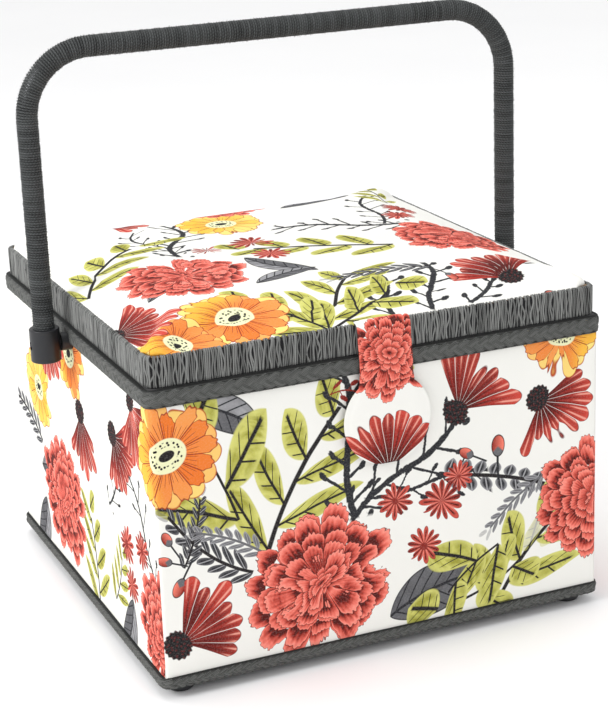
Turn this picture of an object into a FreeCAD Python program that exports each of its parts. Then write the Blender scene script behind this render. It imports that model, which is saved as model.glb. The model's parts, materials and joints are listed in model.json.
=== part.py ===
"""Fabric-covered sewing box with a padded hinged lid, a swinging bail handle and two lift-out trays.

Frame: millimetres, origin on the floor under the middle of the box, +X to the right, +Y to the back, +Z up.
The closure tab is on the front (-Y) side and the hinges are on the back (+Y) side.
"""
import FreeCAD, Part
import os
import re
import Sketcher
from FreeCAD import Placement, Rotation, Vector

SIZES = {
    # box body
    "box_side": 300.4,          # over the printed fabric
    "cover_thick": 0.8,         # printed cotton glued to the boards
    "board_thick": 4.0,
    "foot_height": 7.0,
    "foot_width": 16.5,
    "foot_inset": 14.0,         # foot centre from the side of the box
    "foot_edge": 1.6,           # rounding of a foot's lower edge
    "foot_bore": 1.7,           # radius
    "foot_sink": 3.6,           # radius of the sunk bore for the screw's head
    "foot_sink_deep": 2.5,
    "foot_screw": 1.5,          # radius
    "foot_screw_head": 3.2,     # radius
    "foot_screw_head_tall": 1.4,
    "foot_screw_low": 1.0,      # head above the floor
    "foot_screw_long": 12.8,
    "foot_pilot": 1.55,         # radius of the pilot hole in the base
    "foot_screw_room": 4.2,     # radius of the hole in the floor pad
    "drill_long": 40.0,         # longer than any wall is thick
    "wall_top": 197.2,          # top edge of the box wall above the floor
    "lining_thick": 0.6,
    "floor_pad_thick": 2.0,
    "lining_corner": 0.2,
    # braids glued round the box
    "top_braid_tall": 11.2,
    "base_braid_tall": 7.4,
    "braid_proud": 3.0,
    "braid_corner": 7.0,
    "braid_pivot_gap": 6.2,     # radius of the gap in the top braid round each pivot
    "braid_hinge_gap": 0.6,     # from each end of a hinge
    # lid
    "lid_gap": 0.5,
    "lid_side": 300.0,
    "lid_band_tall": 18.0,
    "band_thick": 1.3,
    "lid_corner": 8.0,
    "lid_wood_corner": 6.7,
    "lid_board_thick": 3.0,
    "pad_rise": 13.4,
    "pad_corner": 10.0,         # in plan
    "pad_inset": 1.0,           # pad from the side of the lid
    "pad_cloth_thick": 0.8,
    "pad_side_tall": 0.5,       # upright side of the pad's slab before it is flattened
    "pad_shoulder": 22.0,       # how far in from the edge the top becomes level
    "lid_lining_thick": 2.6,
    "lid_lining_gap": 0.5,      # lining from the lid's frame
    "lid_lining_corner": 3.0,
    "pocket_thick": 2.4,
    "pocket_wide": 250.0,
    "pocket_deep": 88.0,
    "pocket_place": 82.0,       # pocket's middle towards the front
    "pocket_edge": 1.0,
    "pincushion_width": 74.0,
    "pincushion_thick": 9.0,
    "pincushion_place": 55.0,   # its middle towards the back
    "pincushion_corner": 10.0,
    "pincushion_edge": 4.0,
    # hinges at the back
    "hinge_place": 85.0,        # hinge middle from the middle of the box
    "hinge_long": 30.0,
    "knuckle_radius": 2.4,
    "knuckle_clear": 2.6,       # the plates start this far from the hinge axis
    "hinge_axis_out": 3.0,      # hinge axis behind the back of the box
    "hinge_level": 197.45,
    "leaf_thick": 1.3,
    "leaf_tall": 13.0,
    "leaf_stand": 0.05,         # leaf behind the cloth
    "leaf_corner": 2.0,
    "lid_leaf_short": 1.2,      # the lid's leaf starts this much nearer its end
    "knuckle_gap": 0.15,        # at each end of a knuckle
    "knuckle_overlap": 0.2,
    "leaf_screw_low": 8.5,      # screws below and above the hinge axis
    "leaf_screw_high": 9.5,
    "leaf_screw_apart": 9.0,    # screws to either side of the hinge's middle
    "pin_radius": 1.2,
    "running_gap": 0.05,
    "small_screw": 1.1,         # radius of the hinge screws
    "small_screw_head": 2.1,    # radius
    "small_screw_head_tall": 1.0,
    "small_screw_dome": 0.5,
    "small_screw_long": 4.8,
    "small_screw_pilot": 6.0,   # depth of its pilot hole from the box's back
    # handle
    "handle_spread": 334.0,     # leg axis to leg axis
    "handle_rise": 186.0,       # bar axis above the pivot
    "handle_bend": 42.0,
    "handle_thick": 14.0,       # over the yarn
    "core_thick": 11.4,
    "pivot_level": 187.5,
    "leg_start": 3.4,           # the leg ends this far above the pivot
    "socket_width": 19.4,
    "socket_tall": 21.6,
    "socket_edge": 0.8,
    "socket_gap": 0.15,         # between a socket and its spacer
    "socket_recess": 2.7,       # radius of the recess for the screw's head
    "socket_recess_deep": 2.2,
    "spacer_radius": 5.9,
    "pivot_head": 2.6,          # radius
    "pivot_head_thick": 1.2,
    "pivot_head_sunk": 0.9,     # below the socket's outer face
    "pivot_slot": 0.7,
    "pivot_slot_deep": 0.6,
    "pivot_radius": 2.0,
    "pivot_nut_tall": 2.2,      # flat enough for the trays to lift past it
    "pivot_nut_size": 4.0,      # from its middle to a corner
    # closure
    "tab_disc": 58.0,
    "tab_neck": 39.0,
    "tab_thick": 2.0,
    "tab_stand": 3.4,           # back of the tab in front of the box side
    "tab_roll": 1.6,            # radius of the rolled edge at the top of the tab
    "tab_level": 155.5,         # middle of the disc above the floor
    "snap_width": 13.0,
    "snap_thick": 1.6,
    "snap_stem": 1.5,           # radius
    "snap_bore": 1.6,           # radius
    "snap_stem_long": 5.6,
    "snap_gap": 0.3,            # between the snap's two halves
    "tab_axis_out": 1.7,        # roll's axis in front of the tab's back
    "tab_top_rise": 0.4,        # tab's top above the roll's axis
    # trays
    "tray_long": 286.0,
    "tray_wide": 141.2,
    "tray_tall": 42.0,
    "tray_wall": 1.8,
    "tray_floor": 138.0,        # underside of the trays above the floor
    "tray_gap": 1.0,            # between the two trays
    "ledge_wide": 6.0,
    "ledge_tall": 9.0,
    "ledge_gap": 0.3,           # under the trays
    "ledge_end_gap": 0.5,
    "ledge_edge": 1.0,
    "tray_corner": 3.0,
    "notch_radius": 13.0,
    "notch_rise": 2.0,          # notch's middle above the rim
}

doc = FreeCAD.newDocument("sewing_box")
sheet = doc.addObject("Spreadsheet::Sheet", "sizes")
for row, (alias, value) in enumerate(SIZES.items(), start=1):
    sheet.set(f"A{row}", alias)
    sheet.set(f"B{row}", str(value))
    sheet.setAlias(f"B{row}", alias)
doc.recompute()

NODES = []
SIDES = {"left": -1, "right": 1}


# ---------------------------------------------------------------- helpers

def formula(text):
    """A sum of sheet names as a document expression."""
    def named(word):
        return "sizes." + word.group(0) if word.group(0) in SIZES else word.group(0)

    return re.sub(r"[a-z_]+", named, str(text))


def bind(obj, **sums):
    for name, text in sums.items():
        obj.setExpression(name, formula(text))


def put(obj, spot):
    for axis, text in zip("xyz", spot):
        obj.setExpression("Placement.Base." + axis, formula(text))


def keep(obj, label):
    """Names a finished sub-part, which is then written to its own file."""
    obj.Label = label
    NODES.append(obj)
    return obj


def block(sizes, corner):
    """A box: its three sizes and its lowest corner."""
    obj = doc.addObject("Part::Box", "block")
    bind(obj, Length=sizes[0], Width=sizes[1], Height=sizes[2])
    put(obj, corner)
    return obj


def middle_block(sizes, middle_x, middle_y, low_z):
    """A box centred on a point of the plan."""
    corner = (f"({middle_x}) - ({sizes[0]}) / 2", f"({middle_y}) - ({sizes[1]}) / 2", low_z)
    return block(sizes, corner)


def rod(radius, length, start, axis="z"):
    obj = doc.addObject("Part::Cylinder", "rod")
    turns = {"x": Rotation(Vector(0, 1, 0), 90), "y": Rotation(Vector(1, 0, 0), -90), "z": Rotation()}
    obj.Placement = Placement(Vector(), turns[axis])
    bind(obj, Radius=radius, Height=length)
    put(obj, start)
    return obj


def join(*pieces):
    obj = doc.addObject("Part::MultiFuse", "joined")
    obj.Shapes = list(pieces)
    return obj


def group(*pieces):
    """Separate solids that share one node."""
    obj = doc.addObject("Part::Compound", "group")
    obj.Links = list(pieces)
    return obj


def cut(base, *tools):
    obj = doc.addObject("Part::Cut", "cut")
    obj.Base = base
    obj.Tool = tools[0] if len(tools) == 1 else join(*tools)
    return obj


def upright(edge):
    first, last = edge.Vertexes[0].Point, edge.Vertexes[-1].Point
    return abs(first.x - last.x) < 1e-6 and abs(first.y - last.y) < 1e-6


def level_at(height):
    return lambda edge: all(abs(vertex.Z - height) < 1e-4 for vertex in edge.Vertexes)


def rounded(base, radius, chosen):
    """The base with every chosen edge rounded to a radius named in the sheet or given as a number."""
    doc.recompute()
    value = float(sheet.get(radius)) if isinstance(radius, str) else radius
    obj = doc.addObject("Part::Fillet", "rounded")
    obj.Base = base
    obj.Edges = [(i, value, value) for i, edge in enumerate(base.Shape.Edges, start=1) if chosen(edge)]
    return obj


def frame_ring(outer, inner, low_z, tall, outer_corner, inner_corner):
    """A square ring with rounded corners, such as a band round the box."""
    outside = rounded(middle_block((outer, outer, tall), 0, 0, low_z), outer_corner, upright)
    inside = middle_block((inner, inner, f"{tall} + 2"), 0, 0, f"{low_z} - 1")
    if inner_corner:
        inside = rounded(inside, inner_corner, upright)
    return cut(outside, inside)


def plane_of(body, role):
    return next(item for item in body.Origin.OriginFeatures if item.Role == role)


def new_sketch(body, role, offset="0"):
    sketch = body.newObject("Sketcher::SketchObject", "outline")
    sketch.AttachmentSupport = [(plane_of(body, role), "")]
    sketch.MapMode = "FlatFace"
    sketch.setExpression("AttachmentOffset.Base.z", formula(offset))
    return sketch


def dimension(sketch, text, *references):
    number = sketch.addConstraint(Sketcher.Constraint(*references))
    sketch.setExpression(f"Constraints[{number}]", formula(text))


def add_rectangle(sketch, low_x, low_y, high_x, high_y):
    """A rectangle whose four sides are bound to sums of the sheet's sizes, measured from the origin."""
    ax, ay, bx, by = [size_now(text) for text in (low_x, low_y, high_x, high_y)]
    corners = [Vector(ax, ay), Vector(bx, ay), Vector(bx, by), Vector(ax, by)]
    first = sketch.GeometryCount
    for i in range(4):
        sketch.addGeometry(Part.LineSegment(corners[i], corners[(i + 1) % 4]))
    for i in range(4):
        sketch.addConstraint(Sketcher.Constraint("Coincident", first + i, 2, first + (i + 1) % 4, 1))
    for i, way in enumerate(("Horizontal", "Vertical", "Horizontal", "Vertical")):
        sketch.addConstraint(Sketcher.Constraint(way, first + i))
    dimension(sketch, low_x, "DistanceX", -1, 1, first, 1, ax)
    dimension(sketch, low_y, "DistanceY", -1, 1, first, 1, ay)
    dimension(sketch, high_x, "DistanceX", -1, 1, first + 2, 1, bx)
    dimension(sketch, high_y, "DistanceY", -1, 1, first + 2, 1, by)


def size_now(text):
    """The number that a sum of sheet names stands for now."""
    probe = doc.getObject("probe") or doc.addObject("Part::Vertex", "probe")
    probe.setExpression("X", formula(text))
    probe.recompute()
    return float(probe.X)


# ---------------------------------------------------------------- box body

board_side = "box_side - 2 * cover_thick"
wall_low = "foot_height + cover_thick"
wall_tall = f"wall_top - ({wall_low})"
inner_side = f"{board_side} - 2 * board_thick"
room_side = f"{inner_side} - 2 * lining_thick"
room_floor = f"{wall_low} + board_thick"
box_front = "-box_side / 2"
tab_drill = ("0", f"{box_front} - drill_long / 2", "tab_level")


def pivot_hole(side, radius):
    """The bore through a side wall for the handle's pivot screw."""
    return rod(radius, "drill_long", (f"{side} * box_side / 2 - drill_long / 2", "0", "pivot_level"), "x")


def hinge_screw_spots(level):
    """Two screws for each hinge leaf, at one height."""
    return [(f"{side} * hinge_place + {step} * leaf_screw_apart", level) for side in (-1, 1) for step in (-1, 1)]


leaf_screws_low = "hinge_level - leaf_screw_low"
leaf_screws_high = "hinge_level + leaf_screw_high"


def hinge_holes(level, radius):
    """Pilot holes that run in from behind the box."""
    start = "box_side / 2 - small_screw_pilot"
    return [rod(radius, "small_screw_pilot + 4", (x, start, z), "y") for x, z in hinge_screw_spots(level)]


foot_spots = [(f"{sx} * (box_side / 2 - foot_inset)", f"{sy} * (box_side / 2 - foot_inset)")
              for sx in (-1, 1) for sy in (-1, 1)]


def foot_holes(radius):
    return [rod(radius, "drill_long", (x, y, "-5"), "z") for x, y in foot_spots]


bottom = middle_block((inner_side, inner_side, "board_thick"), 0, 0, wall_low)
keep(cut(bottom, *foot_holes("foot_pilot")), "bottom_board")

long_wall = (board_side, "board_thick", wall_tall)
front_wall = block(long_wall, (f"-({board_side}) / 2", f"-({board_side}) / 2", wall_low))
keep(cut(front_wall, rod("snap_bore", "drill_long", tab_drill, "y")), "front_board")
back_wall = block(long_wall, (f"-({board_side}) / 2", f"({board_side}) / 2 - board_thick", wall_low))
keep(cut(back_wall, *hinge_holes(leaf_screws_low, "small_screw")), "back_board")
for name, side in SIDES.items():
    middle = f"{side} * (({board_side}) / 2 - board_thick / 2)"
    wall = middle_block(("board_thick", inner_side, wall_tall), middle, 0, wall_low)
    keep(cut(wall, pivot_hole(side, "pivot_radius")), f"{name}_board")

# printed cotton, one panel on each side
long_panel = ("box_side", "cover_thick", wall_tall)
front_panel = middle_block(long_panel, 0, "-box_side / 2 + cover_thick / 2", wall_low)
keep(cut(front_panel, rod("snap_bore", "drill_long", tab_drill, "y")), "front_cover")
back_panel = middle_block(long_panel, 0, "box_side / 2 - cover_thick / 2", wall_low)
keep(cut(back_panel, *hinge_holes(leaf_screws_low, "small_screw")), "back_cover")
for name, side in SIDES.items():
    middle = f"{side} * (box_side / 2 - cover_thick / 2)"
    panel = middle_block(("cover_thick", board_side, wall_tall), middle, 0, wall_low)
    keep(cut(panel, pivot_hole(side, "pivot_radius")), f"{name}_cover")
base = middle_block(("box_side", "box_side", "cover_thick"), 0, 0, "foot_height")
keep(cut(base, *foot_holes("foot_pilot")), "base_cover")

# lining inside
lining = frame_ring(inner_side, room_side, room_floor, f"wall_top - ({room_floor})", "lining_corner", 0)
keep(cut(lining, pivot_hole(-1, "pivot_radius"), pivot_hole(1, "pivot_radius")), "wall_lining")
floor_pad = middle_block((room_side, room_side, "floor_pad_thick"), 0, 0, room_floor)
keep(cut(floor_pad, *foot_holes("foot_screw_room")), "floor_lining")

# ledges that carry the trays
ledge_low = "tray_floor - ledge_gap - ledge_tall"
for name, side in (("front", -1), ("back", 1)):
    ledge = middle_block((f"{room_side} - 2 * ledge_end_gap", "ledge_wide", "ledge_tall"), 0,
                         f"{side} * (({room_side}) / 2 - ledge_wide / 2)", ledge_low)
    keep(rounded(ledge, "ledge_edge", level_at(size_now("tray_floor - ledge_gap"))), f"{name}_tray_ledge")

# braids
braid_side = "box_side + 2 * braid_proud"
top_braid_low = "wall_top - top_braid_tall"
top_ring = frame_ring(braid_side, "box_side", top_braid_low, "top_braid_tall", "braid_corner", 0)
pivot_gaps = [pivot_hole(side, "braid_pivot_gap") for side in (-1, 1)]
back_gap = middle_block(("2 * hinge_place + hinge_long + 2 * braid_hinge_gap", "2 * braid_proud", "drill_long"), 0,
                        "box_side / 2 + braid_proud", "wall_top - drill_long / 2")
keep(cut(top_ring, *pivot_gaps, back_gap), "top_braid")
keep(middle_block(("2 * hinge_place - hinge_long - 2 * braid_hinge_gap", "braid_proud", "top_braid_tall"), 0,
                  "(box_side + braid_proud) / 2", top_braid_low), "back_top_braid")
keep(frame_ring(braid_side, "box_side", "foot_height", "base_braid_tall", "braid_corner", 0), "base_braid")


# ---------------------------------------------------------------- feet

def one_foot(x, y):
    """A turned plastic foot with a countersunk bore from below."""
    solid = rod("foot_width / 2", "foot_height", (x, y, "0"), "z")
    solid = rounded(solid, "foot_edge", level_at(0))
    bore = rod("foot_bore", "drill_long", (x, y, "-5"), "z")
    return cut(solid, bore, rod("foot_sink", "2 * foot_sink_deep", (x, y, "-foot_sink_deep"), "z"))


def pan_screw(x, y):
    head = rod("foot_screw_head", "foot_screw_head_tall", (x, y, "foot_screw_low"), "z")
    shank = rod("foot_screw", "foot_screw_long", (x, y, "foot_screw_low"), "z")
    return join(head, shank)


keep(group(*[one_foot(x, y) for x, y in foot_spots]), "feet")
keep(group(*[pan_screw(x, y) for x, y in foot_spots]), "foot_screws")


# ---------------------------------------------------------------- hinges

hinge_axis_y = "box_side / 2 + hinge_axis_out"
knuckle_third = "hinge_long / 3"


def hinge_leaf(side, upward):
    """One leaf of a butt hinge: the plate, its knuckles round the pin, and two screw holes."""
    middle = f"{side} * hinge_place"
    low = "hinge_level + knuckle_clear" if upward else "hinge_level - leaf_tall"
    tall = "leaf_tall - lid_leaf_short" if upward else "leaf_tall - knuckle_clear"
    plate = middle_block(("hinge_long", "leaf_thick", tall), middle,
                         "box_side / 2 + leaf_stand + leaf_thick / 2", low)
    plate = rounded(plate, "leaf_corner", lambda edge: is_free_corner(edge, upward))
    starts = [0] if upward else [-1, 1]
    knuckles = []
    for step in starts:
        start = (f"{middle} + ({step} - 0.5) * {knuckle_third} + knuckle_gap", hinge_axis_y, "hinge_level")
        knuckles.append(rod("knuckle_radius", f"{knuckle_third} - 2 * knuckle_gap", start, "x"))
        web_low = "hinge_level" if upward else "hinge_level - knuckle_clear - knuckle_overlap"
        web = (f"{knuckle_third} - 2 * knuckle_gap", "leaf_thick", "knuckle_clear + knuckle_overlap")
        knuckles.append(block(web, (start[0], "box_side / 2 + leaf_stand", web_low)))
    solid = join(plate, *knuckles)
    bore_start = f"{middle} - hinge_long"
    bore = rod("pin_radius + running_gap", "2 * hinge_long", (bore_start, hinge_axis_y, "hinge_level"), "x")
    level = leaf_screws_high if upward else leaf_screws_low
    holes = [rod("small_screw + running_gap", "drill_long",
                 (f"{middle} + {step} * leaf_screw_apart", "box_side / 2 - 4", level), "y") for step in (-1, 1)]
    return cut(solid, bore, *holes)


def is_free_corner(edge, upward):
    """True for the two short edges at the plate's end away from the pin."""
    first, last = edge.Vertexes[0].Point, edge.Vertexes[-1].Point
    across = abs(first.x - last.x) < 1e-6 and abs(first.z - last.z) < 1e-6
    axis_height = size_now("hinge_level")
    far = first.z > axis_height + 5 if upward else first.z < axis_height - 5
    return across and far


def hinge_screw(x, level):
    """A dome-headed screw driven forwards into the wall."""
    head_start = "box_side / 2 + 2 * leaf_stand + leaf_thick"
    head = rod("small_screw_head", "small_screw_head_tall", (x, head_start, level), "y")
    head_end = size_now(f"{head_start} + small_screw_head_tall")
    head = rounded(head, "small_screw_dome", lambda edge: abs(edge.BoundBox.YMin - head_end) < 1e-3)
    shank_long = "small_screw_long + leaf_thick"
    shank = rod("small_screw", shank_long, (x, f"{head_start} - ({shank_long})", level), "y")
    return join(head, shank)


for name, side in SIDES.items():
    keep(hinge_leaf(side, upward=False), f"{name}_hinge_box_leaf")
    keep(hinge_leaf(side, upward=True), f"{name}_hinge_lid_leaf")
    keep(rod("pin_radius", "hinge_long - 0.2",
             (f"{side} * hinge_place - hinge_long / 2 + 0.1", hinge_axis_y, "hinge_level"), "x"),
         f"{name}_hinge_pin")
keep(group(*[hinge_screw(x, z) for x, z in hinge_screw_spots(leaf_screws_low)]), "hinge_box_screws")
keep(group(*[hinge_screw(x, z) for x, z in hinge_screw_spots(leaf_screws_high)]), "hinge_lid_screws")


# ---------------------------------------------------------------- lid

lid_low = "wall_top + lid_gap"
lid_wood_side = "lid_side - 2 * band_thick"
lid_frame_tall = "lid_band_tall - lid_board_thick"
lid_inner_side = f"{lid_wood_side} - 2 * board_thick"
lid_ring = frame_ring(lid_wood_side, lid_inner_side, lid_low, lid_frame_tall, "lid_wood_corner", 0)
keep(cut(lid_ring, *hinge_holes(leaf_screws_high, "small_screw")), "lid_frame")
lid_top_low = f"{lid_low} + {lid_frame_tall}"
lid_top_plate = middle_block((lid_wood_side, lid_wood_side, "lid_board_thick"), 0, 0, lid_top_low)
keep(rounded(lid_top_plate, "lid_wood_corner", upright), "lid_board")
lid_band_ring = frame_ring("lid_side", lid_wood_side, lid_low, "lid_band_tall", "lid_corner", "lid_wood_corner")
keep(cut(lid_band_ring, *hinge_holes(leaf_screws_high, "small_screw + running_gap")), "lid_band")

pad_low = f"{lid_low} + lid_band_tall"


def pillow(shrink, rise):
    """The padded top: a slab whose wide shoulders are rounded, then flattened to the pad's real height."""
    side = f"lid_side - 2 * pad_inset - 2 * {shrink}"
    slab_tall = size_now("pad_shoulder + pad_side_tall")
    slab = middle_block((side, side, "pad_shoulder + pad_side_tall"), 0, 0, "0")
    slab = rounded(rounded(slab, "pad_corner", upright), "pad_shoulder", level_at(slab_tall))
    doc.recompute()
    flatten = FreeCAD.Matrix()
    flatten.scale(1, 1, size_now(rise) / slab_tall)
    padded = doc.addObject("Part::Feature", "pillow")
    padded.Shape = slab.Shape.transformGeometry(flatten)
    put(padded, ("0", "0", pad_low))
    return padded


foam = ("pad_cloth_thick", "pad_rise - pad_cloth_thick")
keep(pillow(*foam), "lid_foam")
keep(cut(pillow(0, "pad_rise"), pillow(*foam)), "lid_cover")

# inside the lid
lining_low = f"{lid_top_low} - lid_lining_thick"
lining_side = f"{lid_inner_side} - 2 * lid_lining_gap"
lining_plate = middle_block((lining_side, lining_side, "lid_lining_thick"), 0, 0, lining_low)
keep(rounded(lining_plate, "lid_lining_corner", upright), "lid_lining")
pocket_low = f"{lining_low} - pocket_thick"
pocket = middle_block(("pocket_wide", "pocket_deep", "pocket_thick"), 0, "-pocket_place", pocket_low)
keep(rounded(pocket, "pocket_edge", level_at(size_now(pocket_low))), "lid_pocket")
cushion_low = f"{lining_low} - pincushion_thick"
cushion_sizes = ("pincushion_width", "pincushion_width", "pincushion_thick")
cushion = middle_block(cushion_sizes, 0, "pincushion_place", cushion_low)
cushion = rounded(cushion, "pincushion_corner", upright)
keep(rounded(cushion, "pincushion_edge", level_at(size_now(cushion_low))), "pincushion")


# ---------------------------------------------------------------- closure tab and snap

tab_axis_y = f"{box_front} - tab_stand + tab_axis_out"
tab_axis_z = f"{lid_low} + lid_band_tall - tab_roll"
tab_top = f"{tab_axis_z} + tab_top_rise"


def make_tab():
    """A round-ended fabric tab: one sketch in the front plane, padded to its thickness."""
    body = doc.addObject("PartDesign::Body", "tab_body")
    outline = new_sketch(body, "XZ_Plane", "box_side / 2 + tab_stand")
    radius = size_now("tab_disc / 2")
    half_neck = size_now("tab_neck / 2")
    centre = size_now("tab_level")
    top = size_now(tab_top)
    join_up = centre + (radius**2 - half_neck**2) ** 0.5
    circle = Part.Circle(Vector(0, centre, 0), Vector(0, 0, 1), radius)
    left_end = Vector(-half_neck, join_up, 0)
    right_end = Vector(half_neck, join_up, 0)
    bottom_end = Vector(0, centre - radius, 0)
    outline.addGeometry(Part.Arc(left_end, bottom_end, right_end))
    outline.addGeometry(Part.LineSegment(right_end, Vector(half_neck, top, 0)))
    outline.addGeometry(Part.LineSegment(Vector(half_neck, top, 0), Vector(-half_neck, top, 0)))
    outline.addGeometry(Part.LineSegment(Vector(-half_neck, top, 0), left_end))
    outline.addConstraint(Sketcher.Constraint("Coincident", 0, 2, 1, 1))
    outline.addConstraint(Sketcher.Constraint("Coincident", 1, 2, 2, 1))
    outline.addConstraint(Sketcher.Constraint("Coincident", 2, 2, 3, 1))
    outline.addConstraint(Sketcher.Constraint("Coincident", 3, 2, 0, 1))
    outline.addConstraint(Sketcher.Constraint("Vertical", 1))
    outline.addConstraint(Sketcher.Constraint("Horizontal", 2))
    outline.addConstraint(Sketcher.Constraint("Vertical", 3))
    dimension(outline, "tab_disc / 2", "Radius", 0, circle.Radius)
    dimension(outline, "tab_level", "DistanceY", -1, 1, 0, 3, centre)
    outline.addConstraint(Sketcher.Constraint("PointOnObject", 0, 3, -2))
    dimension(outline, "tab_neck / 2", "DistanceX", -1, 1, 1, 2, half_neck)
    dimension(outline, "-tab_neck / 2", "DistanceX", -1, 1, 2, 2, -half_neck)
    dimension(outline, tab_top, "DistanceY", -1, 1, 1, 2, top)
    pad = body.newObject("PartDesign::Pad", "tab_pad")
    pad.Profile = outline
    bind(pad, Length="tab_thick")
    doc.recompute()
    if body.Shape.BoundBox.YMin > -size_now("box_side / 2 + tab_stand + tab_thick") + 0.1:
        pad.Reversed = True
        doc.recompute()
    return body


# the roll of cloth at the lid's edge, about which the tab bends, and the cloth between it and the tab
tab_roll_bar = rod("tab_roll", "tab_neck", ("-tab_neck / 2", tab_axis_y, tab_axis_z), "x")
tab_web = block(("tab_neck", "tab_axis_out", "tab_roll"),
                ("-tab_neck / 2", f"{box_front} - tab_stand", f"{tab_axis_z} - tab_roll"))
keep(join(make_tab(), tab_roll_bar, tab_web), "closure_tab")

snap_disc = rod("snap_width / 2", "snap_thick", ("0", f"{box_front} - snap_thick", "tab_level"), "y")
snap_stem = rod("snap_stem", "snap_stem_long", ("0", f"{box_front} - snap_thick", "tab_level"), "y")
keep(join(snap_disc, snap_stem), "box_snap")
tab_snap = rod("snap_width / 2", "tab_stand - snap_thick - snap_gap",
               ("0", f"{box_front} - tab_stand", "tab_level"), "y")
keep(tab_snap, "tab_snap")


# ---------------------------------------------------------------- handle

def bail(thick, hollow):
    """An upside-down U swept along one sketch; a hollow one is the yarn round the core."""
    body = doc.addObject("PartDesign::Body", "bail")
    half = size_now("handle_spread / 2")
    low = size_now("pivot_level + leg_start")
    high = size_now("pivot_level + handle_rise")
    bend = size_now("handle_bend")
    slant = bend * (1 - 0.5**0.5)
    path = new_sketch(body, "XZ_Plane")
    corner_left = [Vector(-half + x, high - z, 0) for x, z in ((0, bend), (slant, slant), (bend, 0))]
    corner_right = [Vector(half - x, high - z, 0) for x, z in ((bend, 0), (slant, slant), (0, bend))]
    path.addGeometry(Part.LineSegment(Vector(-half, low, 0), corner_left[0]))
    path.addGeometry(Part.Arc(*corner_left))
    path.addGeometry(Part.LineSegment(corner_left[2], corner_right[0]))
    path.addGeometry(Part.Arc(*corner_right))
    path.addGeometry(Part.LineSegment(corner_right[2], Vector(half, low, 0)))
    path.addConstraint(Sketcher.Constraint("Tangent", 0, 2, 1, 2))
    path.addConstraint(Sketcher.Constraint("Tangent", 1, 1, 2, 1))
    path.addConstraint(Sketcher.Constraint("Tangent", 2, 2, 3, 2))
    path.addConstraint(Sketcher.Constraint("Tangent", 3, 1, 4, 1))
    path.addConstraint(Sketcher.Constraint("Vertical", 0))
    path.addConstraint(Sketcher.Constraint("Horizontal", 2))
    path.addConstraint(Sketcher.Constraint("Vertical", 4))
    path.addConstraint(Sketcher.Constraint("Equal", 1, 3))
    dimension(path, "handle_bend", "Radius", 1, bend)
    dimension(path, "-handle_spread / 2", "DistanceX", -1, 1, 0, 1, -half)
    dimension(path, "handle_spread / 2", "DistanceX", -1, 1, 4, 2, half)
    dimension(path, "pivot_level + leg_start", "DistanceY", -1, 1, 0, 1, low)
    dimension(path, "pivot_level + leg_start", "DistanceY", -1, 1, 4, 2, low)
    dimension(path, "pivot_level + handle_rise", "DistanceY", -1, 1, 2, 1, high)
    section = new_sketch(body, "XY_Plane", "pivot_level + leg_start")
    for text in (thick, hollow):
        if text:
            radius = size_now(f"{text} / 2")
            number = section.addGeometry(Part.Circle(Vector(-half, 0, 0), Vector(0, 0, 1), radius))
            dimension(section, f"{text} / 2", "Radius", number, radius)
            dimension(section, "-handle_spread / 2", "DistanceX", -1, 1, number, 3, -half)
            section.addConstraint(Sketcher.Constraint("PointOnObject", number, 3, -1))
    sweep = body.newObject("PartDesign::AdditivePipe", "sweep")
    sweep.Profile = section
    sweep.Spine = path
    doc.recompute()
    return body


keep(bail("core_thick", None), "handle_core")
keep(bail("handle_thick", "core_thick"), "handle_wrap")

socket_low = "pivot_level - socket_tall / 2"
for name, side in SIDES.items():
    leg_x = f"{side} * handle_spread / 2"
    cup = rod("socket_width / 2", "socket_tall", (leg_x, "0", socket_low), "z")
    cup = rounded(cup, "socket_edge", lambda edge: edge.Length > 40 and edge.BoundBox.ZLength < 1e-6)
    mouth = rod("handle_thick / 2 + running_gap", "drill_long", (leg_x, "0", "pivot_level + leg_start"), "z")
    across = rod("pivot_radius + running_gap", "drill_long", (f"{leg_x} - drill_long / 2", "0", "pivot_level"), "x")
    face_x = f"{leg_x} + {side} * (socket_width / 2 - socket_recess_deep)"
    recess_start = face_x if side > 0 else f"{face_x} - drill_long"
    recess = rod("socket_recess", "drill_long", (recess_start, "0", "pivot_level"), "x")
    keep(cut(cup, mouth, across, recess), f"{name}_socket")

    # shoulder screw: head in the socket's recess, shank through the wall, nut inside
    shank_out = f"{leg_x} + {side} * (socket_width / 2 - pivot_head_sunk)"
    shank_in = f"{side} * (({room_side}) / 2 - pivot_nut_tall)"
    head_in = f"{leg_x} + {side} * (socket_width / 2 - pivot_head_sunk - pivot_head_thick)"
    shank_len = f"abs(({shank_out}) - ({shank_in}))"
    shank = rod("pivot_radius", shank_len, (shank_in if side > 0 else shank_out, "0", "pivot_level"), "x")
    head = rod("pivot_head", "pivot_head_thick", (head_in if side > 0 else shank_out, "0", "pivot_level"), "x")
    slot_sizes = ("2 * pivot_slot_deep", "pivot_slot", "4 * pivot_head")
    slot = middle_block(slot_sizes, shank_out, 0, "pivot_level - 2 * pivot_head")
    keep(cut(join(shank, head), slot), f"{name}_pivot_screw")

    spacer_in = f"{side} * box_side / 2"
    spacer_long = "handle_spread / 2 - socket_width / 2 - socket_gap - box_side / 2"
    spacer_start = spacer_in if side > 0 else f"{spacer_in} - ({spacer_long})"
    spacer = rod("spacer_radius", spacer_long, (spacer_start, "0", "pivot_level"), "x")
    keep(cut(spacer, pivot_hole(side, "pivot_radius")), f"{name}_pivot_spacer")

    nut_low = f"{side} * ({room_side}) / 2"
    nut = doc.addObject("Part::Prism", "nut")
    nut.Polygon = 6
    nut.Placement = Placement(Vector(), Rotation(Vector(0, 1, 0), 90))
    bind(nut, Circumradius="pivot_nut_size", Height="pivot_nut_tall")
    put(nut, (f"{nut_low} - pivot_nut_tall" if side > 0 else nut_low, "0", "pivot_level"))
    keep(cut(nut, pivot_hole(side, "pivot_radius")), f"{name}_pivot_nut")


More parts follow.
